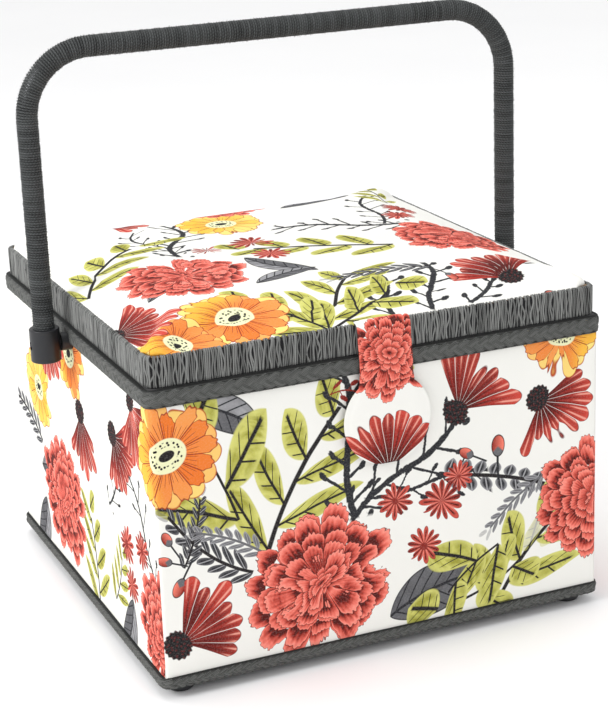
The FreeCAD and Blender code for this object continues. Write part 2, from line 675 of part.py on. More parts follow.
# ---------------------------------------------------------------- trays

def make_tray(name, side, rows):
    """A moulded tray: an outer slab with one pocket for each compartment, finger notches and a rim."""
    body = doc.addObject("PartDesign::Body", f"{name}_tray_body")
    inner_x = "tray_gap / 2"
    outer_x = "tray_gap / 2 + tray_wide"
    low_x, high_x = (inner_x, outer_x) if side > 0 else (f"-({outer_x})", f"-({inner_x})")
    outline = new_sketch(body, "XY_Plane", "tray_floor")
    add_rectangle(outline, low_x, "-tray_long / 2", high_x, "tray_long / 2")
    slab = body.newObject("PartDesign::Pad", "slab")
    slab.Profile = outline
    bind(slab, Length="tray_tall")
    doc.recompute()
    full = body.Shape.Volume
    wells = new_sketch(body, "XY_Plane", "tray_floor + tray_tall")
    start = "-tray_long / 2"
    for row, (depth_share, columns) in enumerate(rows):
        run = f"(tray_long - {len(rows) + 1} * tray_wall) * {depth_share}"
        row_low = f"{start} + tray_wall"
        row_high = f"{row_low} + {run}"
        width = f"(tray_wide - {columns + 1} * tray_wall) / {columns}"
        for column in range(columns):
            well_low = f"{low_x} + tray_wall + {column} * ({width} + tray_wall)"
            add_rectangle(wells, well_low, row_low, f"{well_low} + {width}", row_high)
        start = row_high
    pocket = body.newObject("PartDesign::Pocket", "wells")
    pocket.Profile = wells
    bind(pocket, Length="tray_tall - tray_wall")
    doc.recompute()
    if body.Shape.Volume > 0.6 * full:
        raise RuntimeError(f"{name} tray: the wells cut nothing")
    corners = [f"Edge{i}" for i, edge in enumerate(pocket.Shape.Edges, start=1)
               if upright(edge) and abs(abs(edge.Vertexes[0].Y) - size_now("tray_long / 2")) < 1e-4]
    fillet = body.newObject("PartDesign::Fillet", "corners")
    fillet.Base = (pocket, corners)
    fillet.setExpression("Radius", formula("tray_corner"))
    doc.recompute()
    notch_x = f"({low_x} + {high_x}) / 2"
    notch_z = "tray_floor + tray_tall + notch_rise"
    end_middle = "(tray_long - tray_wall) / 2"
    notches = [rod("notch_radius", "2 * tray_wall", (notch_x, f"{end} * {end_middle} - tray_wall", notch_z), "y")
               for end in (-1, 1)]
    return keep(cut(body, *notches), f"{name}_tray")


make_tray("left", -1, [(0.36, 2), (0.64, 1)])
make_tray("right", 1, [(0.25, 1), (0.25, 2), (0.5, 2)])


# ---------------------------------------------------------------- checks and files

if doc.getObject("probe"):
    doc.removeObject("probe")
doc.recompute()
for obj in doc.Objects:
    if "Invalid" in obj.State or "Error" in obj.State:
        raise RuntimeError(f"{obj.Name} ({obj.Label}) failed: {obj.State}")
os.makedirs("parts", exist_ok=True)
for obj in NODES:
    if obj.Shape.isNull() or not obj.Shape.isValid() or not obj.Shape.Solids:
        raise RuntimeError(f"{obj.Label} has no valid solid")
    obj.Shape.exportStep(f"parts/{obj.Label}.step")
    box = obj.Shape.BoundBox
    print(f"{obj.Label:24s} solids {len(obj.Shape.Solids)}  x {box.XMin:8.2f} {box.XMax:8.2f}"
          f"  y {box.YMin:8.2f} {box.YMax:8.2f}  z {box.ZMin:7.2f} {box.ZMax:7.2f}")
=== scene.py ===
"""The sewing box's looks: cloth, yarn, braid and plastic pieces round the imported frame. Metres throughout."""
import json
import math
import bpy
import numpy as np
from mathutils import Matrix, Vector


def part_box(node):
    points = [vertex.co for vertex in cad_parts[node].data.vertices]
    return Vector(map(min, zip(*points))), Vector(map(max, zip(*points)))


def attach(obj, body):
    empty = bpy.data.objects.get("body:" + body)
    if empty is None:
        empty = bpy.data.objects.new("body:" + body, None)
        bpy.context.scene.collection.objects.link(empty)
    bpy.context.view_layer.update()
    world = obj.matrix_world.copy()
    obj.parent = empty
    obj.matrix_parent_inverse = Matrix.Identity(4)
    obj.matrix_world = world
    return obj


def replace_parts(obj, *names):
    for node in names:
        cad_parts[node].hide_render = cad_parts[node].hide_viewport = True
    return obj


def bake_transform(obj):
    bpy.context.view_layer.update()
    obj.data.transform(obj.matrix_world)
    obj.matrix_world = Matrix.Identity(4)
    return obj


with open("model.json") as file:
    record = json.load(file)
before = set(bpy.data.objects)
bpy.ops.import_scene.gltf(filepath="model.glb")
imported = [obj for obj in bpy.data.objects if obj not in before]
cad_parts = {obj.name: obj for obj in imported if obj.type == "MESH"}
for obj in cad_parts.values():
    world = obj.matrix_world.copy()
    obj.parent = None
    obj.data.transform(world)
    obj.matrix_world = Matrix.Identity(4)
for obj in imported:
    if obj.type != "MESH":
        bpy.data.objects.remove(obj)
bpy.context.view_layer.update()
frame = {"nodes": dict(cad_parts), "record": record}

MM = 0.001
RNG = np.random.default_rng(7)

# ---------------------------------------------------------------- places taken from the frame

BODY_LOW, BODY_HIGH = (np.array(corner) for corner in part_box("front_cover"))
HALF = BODY_HIGH[0]                               # half the side of the box, over the cloth
WALL_TOP = BODY_HIGH[2]
BODY_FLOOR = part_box("base_cover")[0][2]
LID_LOW, LID_HIGH = (np.array(corner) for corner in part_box("lid_band"))
LID_HALF = LID_HIGH[0]
BAND_LOW, BAND_TOP = LID_LOW[2], LID_HIGH[2]
PAD_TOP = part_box("lid_cover")[1][2]
INNER_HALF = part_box("wall_lining")[1][0]
QUARTER = math.pi / 2
TURN = 2 * math.pi


# ---------------------------------------------------------------- camera and light

def add_camera():
    data = bpy.data.cameras.new("camera")
    data.lens = 96.36
    data.clip_end = 20.0
    camera = bpy.data.objects.new("camera", data)
    camera.location = (-0.4772, -1.1556, 0.5537)
    camera.rotation_euler = (math.radians(71.96), math.radians(2.09), math.radians(-23.61))
    bpy.context.scene.collection.objects.link(camera)
    bpy.context.scene.camera = camera


def area_light(name, place, aim, size, power, colour=(1, 1, 1)):
    data = bpy.data.lights.new(name, "AREA")
    data.shape = "DISK"
    data.size = size
    data.energy = power
    data.color = colour
    light = bpy.data.objects.new(name, data)
    light.location = place
    direction = Vector(aim) - Vector(place)
    light.rotation_euler = direction.to_track_quat("-Z", "Y").to_euler()
    bpy.context.scene.collection.objects.link(light)


def add_studio():
    middle = (0, 0, 0.15)
    area_light("left_key", (-1.5, -0.3, 1.1), middle, 0.7, 16)
    area_light("front_fill", (0.6, -1.9, 1.5), middle, 0.6, 3)
    area_light("top_soft", (-0.2, 0.4, 2.0), middle, 0.9, 8)
    world = bpy.data.worlds.new("studio")
    bpy.context.scene.world = world
    world.use_nodes = True
    background = world.node_tree.nodes["Background"]
    background.inputs["Color"].default_value = (1.0, 1.0, 1.0, 1)
    background.inputs["Strength"].default_value = 1.0
    view = bpy.context.scene.view_settings
    view.view_transform = "Standard"
    view.look = "None"
    view.exposure = 0.0


# ---------------------------------------------------------------- shader arithmetic

class Tree:
    """A material's node tree, written to as arithmetic. Nodes are made in the order of their use."""

    def __init__(self, name):
        self.material = bpy.data.materials.new(name)
        self.material.use_nodes = True
        self.nodes = self.material.node_tree.nodes
        self.links = self.material.node_tree.links
        self.shader = self.nodes["Principled BSDF"]

    def link(self, value, socket):
        """Joins a field, or sets a plain number, colour or vector, on a socket."""
        if isinstance(value, Field):
            self.links.new(value.socket, socket)
        elif hasattr(value, "__len__") and len(value) == 3 and socket.type == "RGBA":
            socket.default_value = (*value, 1)
        else:
            socket.default_value = value

    def node(self, kind, inputs=(), **settings):
        made = self.nodes.new("ShaderNode" + kind)
        for name, value in settings.items():
            setattr(made, name, value)
        for name, value in dict(inputs).items():
            self.link(value, made.inputs[name])
        return made

    def field(self, kind, output, inputs=(), **settings):
        return Field(self, self.node(kind, inputs, **settings).outputs[output])

    def math(self, operation, *values, clamp=False):
        made = self.nodes.new("ShaderNodeMath")
        made.operation = operation
        made.use_clamp = clamp
        for socket, value in zip(made.inputs, values):
            self.link(value, socket)
        return Field(self, made.outputs[0])

    def vector(self, operation, *values, output="Vector"):
        made = self.nodes.new("ShaderNodeVectorMath")
        made.operation = operation
        sockets = [s for s in made.inputs if s.type == "VECTOR"]
        for socket, value in zip(sockets, values):
            self.link(value, socket)
        return Field(self, made.outputs[output])

    def times(self, vector, number):
        made = self.nodes.new("ShaderNodeVectorMath")
        made.operation = "SCALE"
        self.link(vector, made.inputs["Vector"])
        self.link(number, made.inputs["Scale"])
        return Field(self, made.outputs["Vector"])

    def mix(self, share, first, second):
        """first where share is 0, second where it is 1; both are colours."""
        made = self.nodes.new("ShaderNodeMix")
        made.data_type = "RGBA"
        self.link(share, made.inputs[0])
        colours = [socket for socket in made.inputs if socket.type == "RGBA"]
        self.link(first, colours[0])
        self.link(second, colours[1])
        return Field(self, next(socket for socket in made.outputs if socket.type == "RGBA"))

    def noise(self, vector, scale, detail=2.0, output="Fac"):
        return self.field("TexNoise", output, {"Vector": vector, "Scale": scale, "Detail": detail})

    def split(self, vector):
        made = self.node("SeparateXYZ", {"Vector": vector})
        return Field(self, made.outputs["X"]), Field(self, made.outputs["Y"])

    def attribute(self, name, output="Vector"):
        return self.field("Attribute", output, attribute_name=name)

    def bump(self, height, distance, strength=1.0):
        normal = self.field("Bump", "Normal", {"Height": height, "Distance": distance, "Strength": strength})
        self.link(normal, self.shader.inputs["Normal"])

    def finish(self, colour=None, rough=0.6, **settings):
        """Sets the shader's own sockets. settings are socket names with underscores for spaces."""
        if colour is not None:
            self.link(colour, self.shader.inputs["Base Color"])
        self.link(rough, self.shader.inputs["Roughness"])
        for name, value in settings.items():
            self.link(value, self.shader.inputs[name.replace("_", " ")])
        return self.material


class Field:
    """A number, vector or colour that a node works out."""

    def __init__(self, tree, socket):
        self.tree, self.socket = tree, socket

    def __add__(self, other):
        return self.tree.math("ADD", self, other)

    def __sub__(self, other):
        return self.tree.math("SUBTRACT", self, other)

    def __rsub__(self, other):
        return self.tree.math("SUBTRACT", other, self)

    def __mul__(self, other):
        return self.tree.math("MULTIPLY", self, other)

    def __truediv__(self, other):
        return self.tree.math("DIVIDE", self, other)

    def __pow__(self, other):
        return self.tree.math("POWER", self, other)

    __radd__, __rmul__ = __add__, __mul__

    def size(self):
        return self.tree.math("ABSOLUTE", self)

    def fract(self):
        return self.tree.math("FRACT", self)

    def floor(self):
        return self.tree.math("FLOOR", self)

    def sine(self):
        return self.tree.math("SINE", self)

    def both(self, other):
        return self.tree.math("MINIMUM", self, other)

    def either(self, other):
        return self.tree.math("MAXIMUM", self, other)

    def rise(self, low, high):
        """0 up to low, 1 from high, in a straight line between them; low may be the larger."""
        slope = 1.0 / (high - low)
        return self.tree.math("MULTIPLY_ADD", self, slope, -low * slope, clamp=True)


# ---------------------------------------------------------------- the printed cloth's motifs

INK = (0.010, 0.008, 0.010)
CREAM = (0.83, 0.825, 0.785)
DEEP_RED = (0.085, 0.004, 0.003)
BRICK = (0.25, 0.017, 0.011)
CORAL = (0.56, 0.075, 0.052)
ROSE = (0.88, 0.27, 0.21)
ORANGE = (0.76, 0.17, 0.020)
APRICOT = (0.84, 0.33, 0.085)
YELLOW = (0.88, 0.50, 0.055)
LEMON = (0.88, 0.70, 0.20)
OLIVE = (0.32, 0.31, 0.040)
LIME = (0.55, 0.54, 0.13)
SLATE = (0.019, 0.020, 0.025)
STONE = (0.13, 0.13, 0.14)
MIST = (0.33, 0.33, 0.345)


class Motif:
    """One figure of the print in its own plane, at unit size round the origin."""

    def __init__(self, tree, place):
        self.tree = tree
        self.place = place
        self.x, self.y = tree.split(place)

    def reach(self):
        return self.tree.vector("LENGTH", self.place, output="Value")

    def angle(self):
        return self.tree.math("ARCTAN2", self.y, self.x)


def chance(tree, number, seed):
    """A random value from 0 to 1 for each whole number."""
    return tree.field("TexWhiteNoise", "Value", {"W": number + seed * 17.3}, noise_dimensions="1D")


def ellipse(motif, x, y, wide, tall):
    """Distance from a small ellipse's middle: 1 on its outline."""
    tree = motif.tree
    inputs = {"Vector": motif.place, "Location": (x, y, 0), "Scale": (wide, tall, 1)}
    local = tree.field("Mapping", "Vector", inputs, vector_type="TEXTURE")
    return tree.vector("LENGTH", local, output="Value")


def peony(tree, below, motif, seed, pitch=0.135):
    """Rings of scalloped petals, each dark at its base and pale at its edge.

    Rings count from 0 at the rim inwards. Its own ring or the ring on either side of it covers a point.
    """
    reach = motif.reach()
    angle = motif.angle()
    frill = (tree.noise(motif.place, 11.0, 1.0) - 0.5) * 0.10
    angle, reach = angle + frill * 1e-7, reach + frill * 1e-7
    streak = ((angle * 58.0 + frill * 40.0).sine() * 0.5 + 0.5) * 0.22
    own_ring = ((reach * -1.0 + 0.98) * (1.0 / pitch)).floor()
    colour = below
    for step in (-1.0, 0.0, 1.0):
        ring = own_ring + step
        count = (ring * -1.5 + 15.0).floor()
        along = angle * count * (1.0 / TURN) + ring * 0.43 + seed * 0.37
        lucky = chance(tree, along.floor(), ring * 3.1 + seed)
        off = (along.fract() - 0.5).size() * 2.0
        scallop = (off * 10.0).sine().size() * 0.022
        outline = (1.0 - off * off * off * 0.17) * (lucky * 0.16 + 0.90) * (ring * -pitch + 0.98)
        outline = outline + frill + scallop
        inside = outline - reach
        angle = angle + inside * 1e-7
        tone = 0.98 - inside * 5.6 - streak * (inside * 7.0) + lucky * 0.24 - off * off * 0.16
        petal = tree.field("ValToRGB", "Color", {"Fac": tone})
        set_ramp(petal.socket.node.color_ramp,
                 [(0.0, DEEP_RED), (0.20, BRICK), (0.48, CORAL), (0.76, (0.80, 0.17, 0.125)), (1.0, ROSE)])
        crack = off.rise(0.93, 0.97).both(inside.rise(0.17, 0.12))
        petal = tree.mix(inside.rise(0.017, 0.009).either(crack), petal, (0.12, 0.005, 0.004))
        colour = tree.mix(inside.rise(0.0, 0.006).both(ring.rise(-0.6, -0.4)), colour, petal)
    return tree.mix(reach.rise(0.07, 0.03), colour, DEEP_RED)


def set_ramp(ramp, stops):
    while len(ramp.elements) < len(stops):
        ramp.elements.new(0.5)
    for element, (place, colour) in zip(ramp.elements, stops):
        element.position = place
        element.color = (*colour, 1)


def petal_ring(tree, angle, count, shift, seed):
    """Splits a turn into petals: the offset across each petal (-0.5 to 0.5) and its own random number."""
    along = angle * (count / TURN) + shift
    lucky = chance(tree, along.floor(), seed)
    return along.fract() - 0.5, lucky


def gerbera(tree, below, motif, seed, count=14, deep=ORANGE, mid=APRICOT, yellow_side=(-1, 0.2)):
    """Two layers of blunt petals round a cream disc with a ring of dots and a black heart."""
    reach, angle = motif.reach(), motif.angle()
    side = motif.x * yellow_side[0] + motif.y * yellow_side[1]
    sunny = side.rise(0.15, 0.5)
    across, lucky = petal_ring(tree, angle, count, 0.5, seed + 5)
    drop = across * across * 0.45
    back_edge = (lucky * 0.10 + 0.90) * (1.0 - drop) - reach
    back = tree.mix(lucky, mid, LEMON)
    back = tree.mix(sunny, back, LEMON)
    back = tree.mix(across.size().rise(0.06, 0.02).both(reach.rise(0.72, 0.66)), back, BRICK)
    back = tree.mix(back_edge.rise(0.035, 0.015), back, (0.42, 0.06, 0.01))
    colour = tree.mix(back_edge.rise(0.0, 0.012), below, back)
    across, lucky = petal_ring(tree, angle, count, 0.0, seed)
    drop = across * across
    notch = (across * 22.0).sine() * 0.014
    edge = (lucky * 0.14 + 0.82) * (1.0 - drop * 0.7) - reach + notch
    front = tree.mix(lucky, deep, mid)
    front = tree.mix(sunny, front, YELLOW)
    front = tree.mix(reach.rise(0.95, 0.3) * 0.4, front, deep)
    veins = ((across * 3.0 + 0.5).fract() - 0.5).size() * reach
    front = tree.mix(veins.rise(0.042, 0.018).both(reach.rise(0.62, 0.56)), front, (0.28, 0.03, 0.012))
    border = edge.rise(0.035, 0.018).either(((0.5 - across.size()) * reach).rise(0.030, 0.014))
    front = tree.mix(border, front, (0.30, 0.03, 0.010))
    colour = tree.mix(edge.rise(0.0, 0.012), colour, front)
    disc = ellipse(motif, 0, 0, 0.34, 0.29)
    colour = tree.mix(disc.rise(1.04, 0.98), colour, (0.80, 0.80, 0.50))
    seeds = tree.field("TexVoronoi", "Distance", {"Vector": motif.place, "Scale": 15.0, "Randomness": 0.8},
                       voronoi_dimensions="2D", feature="F1")
    ring = disc.rise(0.52, 0.58).both(disc.rise(0.86, 0.80))
    colour = tree.mix(seeds.rise(0.34, 0.28).both(ring), colour, INK)
    return tree.mix(ellipse(motif, 0.0, 0.0, 0.135, 0.085).rise(1.05, 0.95), colour, INK)


def coneflower(tree, below, motif, seed, count=22, span=1.35):
    """Drooping petals below a black cone of seeds."""
    reach = motif.reach()
    angle = tree.math("ARCTAN2", motif.x, motif.y * -1.0)
    across, lucky = petal_ring(tree, angle, count, 0.5, seed)
    whole = (angle * (count / TURN) + 0.5).floor().size() * (TURN / count)
    edge = (lucky * 0.22 + 0.78) * (1.0 - across * across * 0.5) - reach
    gap = (0.49 - across.size()) * reach
    mask = edge.rise(0.0, 0.012).both(gap.rise(0.0, 0.012)).both(whole.rise(span + 0.002, span))
    streak = ((across * 13.0 + lucky * 5.0).sine() * 0.5 + 0.5) * reach.rise(0.2, 0.7)
    base = tree.mix(lucky, (0.13, 0.007, 0.006), (0.34, 0.022, 0.015))
    base = tree.mix(reach.rise(0.45, 1.05) * 0.85, base, (0.66, 0.07, 0.048))
    petal = tree.mix(streak.rise(0.72, 0.97) * 0.7, base, (0.90, 0.42, 0.33))
    petal = tree.mix(streak.rise(0.35, 0.05) * reach.rise(0.9, 0.3), petal, DEEP_RED)
    border = edge.rise(0.024, 0.012).either(gap.rise(0.014, 0.006))
    petal = tree.mix(border, petal, (0.13, 0.006, 0.010))
    colour = tree.mix(mask, below, petal)
    cone = ellipse(motif, 0, 0.06, 0.21, 0.18)
    spikes = (motif.angle() * 20.0).sine() * 0.05
    seeds = tree.field("TexVoronoi", "Distance", {"Vector": motif.place, "Scale": 17.0},
                       voronoi_dimensions="2D", feature="F1")
    heart = tree.mix(seeds.rise(0.30, 0.22) * 0.35, INK, (0.20, 0.02, 0.02))
    return tree.mix((cone + spikes).rise(1.06, 0.98), colour, heart)


def daisy(tree, below, motif, seed, count=13):
    """A small red flower with narrow petals and a dark dotted heart."""
    reach = motif.reach()
    across, lucky = petal_ring(tree, motif.angle(), count, 0.0, seed)
    edge = (lucky * 0.24 + 0.76) * (1.0 - across * across * 1.6) - reach
    petal = tree.mix(lucky, BRICK, CORAL)
    petal = tree.mix(across.size().rise(0.14, 0.06).both(reach.rise(0.8, 0.7)), petal, DEEP_RED)
    petal = tree.mix(across.size().rise(0.28, 0.36) * 0.6, petal, ROSE)
    petal = tree.mix(edge.rise(0.06, 0.03), petal, (0.20, 0.008, 0.010))
    colour = tree.mix(edge.rise(0.0, 0.03), below, petal)
    return tree.mix(reach.rise(0.25, 0.20), colour, (0.24, 0.02, 0.014))


def sprig(tree, below, motif, seed, leaves=4.0, bend=0.22, lean=0.75, wide=0.40, long=0.34,
          light=LIME, dark=OLIVE, line=INK, stem=0.013, veins=True):
    """A stem with leaves on alternate sides. The stem runs along x from 0 to 1."""
    off = motif.y - motif.x * motif.x * bend
    upper = off.rise(-0.001, 0.001)
    away = off.size()
    count = (motif.x - away * lean) * leaves + upper * 0.5
    index = count.floor()
    across = count.fract() - 0.5
    length = (1.0 - (index / leaves) * 0.42) * long
    out = away / length
    width = ((out * (1.0 - out) * 4.0).either(0.0) ** 0.85) * wide
    inside = width - across.size()
    ends = motif.x.rise(-0.05, -0.02).both((index / leaves).rise(1.02, 0.98)).both(index.rise(-0.6, -0.4))
    mask = inside.rise(0.0, 0.03).both(ends)
    if veins:
        wash = tree.noise(motif.place, 5.0, 2.0)
        leaf = tree.mix(wash.rise(0.38, 0.62), dark, light)
        leaf = tree.mix(inside.rise(0.16, 0.05) * 0.6, leaf, (0.66, 0.65, 0.20))
        rib = across.size().rise(0.045, 0.025).both(out.rise(0.90, 0.86))
        side = ((out * 4.5 - across.size() * 3.4).fract() - 0.5).size().rise(0.075, 0.04)
        side = side.both(across.size().rise(0.27, 0.23)).both(out.rise(0.85, 0.78))
        leaf = tree.mix(rib.either(side), leaf, line)
    else:
        leaf = tree.mix(inside.rise(0.0, 0.25), light, dark)
        leaf = tree.mix(across.size().rise(0.06, 0.03), leaf, MIST)
    colour = tree.mix(mask, below, leaf)
    stalk = away.rise(stem * 1.5, stem).both(motif.x.rise(-0.01, 0.0)).both(motif.x.rise(1.0, 0.99))
    return tree.mix(stalk, colour, line)


def grey_leaf(tree, below, motif, seed, wide=0.23, bend=0.35, light=MIST):
    """One large veined leaf along x from 0 to 1."""
    off = motif.y - motif.x * (1.0 - motif.x) * bend
    away = off.size()
    width = ((motif.x * (1.0 - motif.x) * 4.0).either(0.0) ** 0.75) * wide
    inside = width - away
    leaf = tree.mix(off.rise(-0.01, 0.01), STONE, light)
    leaf = tree.mix(tree.noise(motif.place, 4.0).rise(0.35, 0.7) * 0.4, leaf, SLATE)
    side = ((motif.x * 7.0 - away * 7.5).fract() - 0.5).size().rise(0.10, 0.06)
    rib = away.rise(0.017, 0.011)
    rim = inside.rise(0.022, 0.012)
    leaf = tree.mix(side.either(rib).either(rim), leaf, SLATE)
    return tree.mix(inside.rise(0.0, 0.008), below, leaf)


def branch(tree, below, motif, seed, twigs=5.0, bend=0.18, long=0.17, colour=SLATE, thick=0.017, bud=0.027):
    """A rough dark branch along x with short twigs that end in buds."""
    rough = (tree.noise(motif.place, 22.0, 1.0) - 0.5) * 0.022
    off = motif.y - (motif.x * 6.0).sine() * bend * 0.3 - motif.x * motif.x * bend + rough
    upper = off.rise(-0.001, 0.001)
    away = off.size()
    count = (motif.x - away * 0.8) * twigs + upper * 0.5
    lucky = chance(tree, count.floor() + upper * 31.0, seed)
    across = ((count.fract() - 0.5) / twigs).size()
    length = (lucky * 0.6 + 0.5) * long
    twig = across.rise(thick * 0.62, thick * 0.42).both((length - away).rise(0.0, 0.004))
    tip = tree.math("SQRT", across * across + (away - length) * (away - length))
    stem = away.rise(thick, thick * 0.75)
    mask = twig.either(tip.rise(bud, bud * 0.8)).either(stem)
    mask = mask.both(motif.x.rise(-0.02, 0.0)).both(motif.x.rise(1.02, 1.0)).both(away.rise(0.4, 0.38))
    return tree.mix(mask, below, colour)


def bud(tree, below, motif, seed):
    """A red bud with a dark cup and a short stalk."""
    body = ellipse(motif, 0, 0, 0.26, 0.42)
    colour = tree.mix(motif.x.rise(-0.2, 0.2), BRICK, (0.85, 0.2, 0.14))
    colour = tree.mix((motif.y + motif.x.size() * 0.9).rise(0.02, -0.04), colour, STONE)
    colour = tree.mix(body.rise(0.84, 0.92), colour, INK)
    stalk = motif.x.size().rise(0.05, 0.035).both(motif.y.rise(-0.3, -0.35)).both(motif.y.rise(-1.2, -1.15))
    return tree.mix(body.rise(1.0, 0.96), tree.mix(stalk, below, SLATE), colour)


FERN = {"leaves": 7.0, "long": 0.17, "lean": 1.1, "wide": 0.42, "light": STONE, "dark": SLATE,
        "veins": False, "bend": 0.3}
PALE_FERN = {**FERN, "light": MIST, "dark": STONE, "line": STONE}
DRAW = {"peony": peony, "gerbera": gerbera, "coneflower": coneflower, "daisy": daisy, "sprig": sprig,
        "grey_leaf": grey_leaf, "branch": branch, "bud": bud}


def weave(tree, cloth):
    """Plain weave: threads over and under each other, about 20 to the centimetre."""
    x, y = tree.split(cloth)
    pitch = TURN / 0.52
    return (x * pitch).sine() * (y * pitch).sine()


class GroupTree(Tree):
    """A node group written to in the same way: figures of one kind share it."""

    def __init__(self, name):
        self.group = bpy.data.node_groups.new(name, "ShaderNodeTree")
        self.nodes, self.links = self.group.nodes, self.group.links
        for title, kind in (("Below", "Color"), ("Place", "Vector"), ("Cloth", "Vector"), ("Seed", "Float")):
            self.group.interface.new_socket(title, in_out="INPUT", socket_type="NodeSocket" + kind)
        for title, kind in (("Colour", "Color"), ("Cloth", "Vector")):
            self.group.interface.new_socket(title, in_out="OUTPUT", socket_type="NodeSocket" + kind)
        self.given = self.nodes.new("NodeGroupInput")

    def input(self, title):
        return Field(self, self.given.outputs[title])

    def close(self, colour):
        """Gives the colour out, and the cloth's place through it, so that figures are worked out in turn."""
        red = self.field("SeparateColor", "Red", {"Color": colour})
        turn = self.field("CombineXYZ", "Vector", {"X": red})
        cloth = self.vector("MULTIPLY_ADD", turn, (1e-7, 0, 0), self.input("Cloth"))
        out = self.nodes.new("NodeGroupOutput")
        self.link(colour, out.inputs["Colour"])
        self.link(cloth, out.inputs["Cloth"])
        return self.group


FIGURES = {}


def figure(kind, options):
    """The node group for one kind of figure with these options, made once."""
    key = (kind, repr(sorted(options.items())))
    if key not in FIGURES:
        tree = GroupTree(kind)
        motif = Motif(tree, tree.input("Place"))
        FIGURES[key] = tree.close(DRAW[kind](tree, tree.input("Below"), motif, tree.input("Seed"), **options))
    return FIGURES[key]


def printed_cloth(name, motifs, ground=CREAM):
    """Cotton with a printed pattern. Each motif is (kind, x, y, size, turn, options), in mm on the cloth."""
    tree = Tree(name)
    cloth = tree.attribute("cloth")
    drift = tree.noise(cloth, 0.025, 1.0, "Color")
    drift = tree.times(tree.vector("SUBTRACT", drift, (0.5, 0.5, 0.5)), 3.0)
    place = tree.vector("ADD", cloth, drift)
    colour = tree.mix(tree.noise(cloth, 0.02).rise(0.3, 0.7), ground, tuple(0.97 * c for c in ground))
    for kind, x, y, size, turn, options in motifs:
        options = dict(options)
        seed = options.pop("seed", 0)
        frame_of_motif = {"Vector": place, "Location": (x, y, 0), "Scale": (size, size, 1),
                          "Rotation": (0, 0, math.radians(turn))}
        spot = tree.field("Mapping", "Vector", frame_of_motif, vector_type="TEXTURE")
        made = tree.nodes.new("ShaderNodeGroup")
        made.node_tree = figure(kind, options)
        for title, value in (("Below", colour), ("Place", spot), ("Cloth", place), ("Seed", seed)):
            tree.link(value, made.inputs[title])
        colour, place = Field(tree, made.outputs["Colour"]), Field(tree, made.outputs["Cloth"])
    threads = weave(tree, cloth)
    wash = tree.noise(cloth, 0.9, 3.0)
    colour = tree.mix(wash.rise(0.45, 0.8) * 0.08, colour, ground)
    # painted shade: the cloth is darker where the weave dips, in the hollows between threads
    colour = tree.mix(threads.rise(-0.2, -1.0) * 0.10, colour, (0.45, 0.42, 0.38))
    tree.bump(threads + tree.noise(cloth, 1.4) * 0.8, 0.00008, 0.5)
    return tree.finish(colour, 0.85, Specular_IOR_Level=0.08)


# ---------------------------------------------------------------- meshes

def new_piece(name, points, faces, body=None, material=None, smooth=True):
    mesh = bpy.data.meshes.new(name)
    mesh.from_pydata([tuple(p) for p in points], [], [tuple(int(i) for i in f) for f in faces])
    mesh.update()
    if smooth:
        mesh.polygons.foreach_set("use_smooth", [True] * len(mesh.polygons))
    piece = bpy.data.objects.new(name, mesh)
    bpy.context.scene.collection.objects.link(piece)
    if material:
        mesh.materials.append(material)
    if body:
        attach(piece, body)
    return piece


def set_attribute(piece, name, values, kind="FLOAT_VECTOR"):
    layer = piece.data.attributes.new(name, kind, "POINT")
    layer.data.foreach_set("vector" if kind == "FLOAT_VECTOR" else "value", np.asarray(values, float).ravel())


def grid_faces(rows, columns, closed=False):
    """Quads between rows of points; closed joins the last column to the first."""
    faces = []
    for i in range(rows - 1):
        for j in range(columns if closed else columns - 1):
            k = (j + 1) % columns
            faces.append((i * columns + j, i * columns + k, (i + 1) * columns + k, (i + 1) * columns + j))
    return faces


def rim_of(rows, columns):
    """The grid points round a grid's edge, in order."""
    return ([j for j in range(columns)] + [i * columns + columns - 1 for i in range(1, rows)]
            + [(rows - 1) * columns + j for j in range(columns - 2, -1, -1)]
            + [i * columns for i in range(rows - 2, 0, -1)])


def shell_faces(rows, columns):
    """Faces that close two equal grids into one shell: the first faces out, the second is reversed."""
    count = rows * columns
    first = grid_faces(rows, columns)
    second = [tuple(i + count for i in reversed(face)) for face in first]
    rim = rim_of(rows, columns)
    ends = zip(rim, rim[1:] + rim[:1])
    return first + second + [(a, a + count, b + count, b) for a, b in ends]


def solid_sheet(name, outer, thick, cloth, body, material):
    """A closed thin sheet: a (rows, columns, 3) grid of outer points and the same grid set back from it."""
    rows, columns = outer.shape[:2]
    along = np.gradient(outer, axis=1)
    up = np.gradient(outer, axis=0)
    normal = np.cross(along, up)
    normal /= np.linalg.norm(normal, axis=2, keepdims=True)
    inner = outer - normal * thick
    points = np.concatenate([outer.reshape(-1, 3), inner.reshape(-1, 3)])
    piece = new_piece(name, points, shell_faces(rows, columns), body, material)
    flat = np.asarray(cloth).reshape(-1, 3)
    set_attribute(piece, "cloth", np.concatenate([flat, flat]))
    return piece


# ---------------------------------------------------------------- the print on each panel

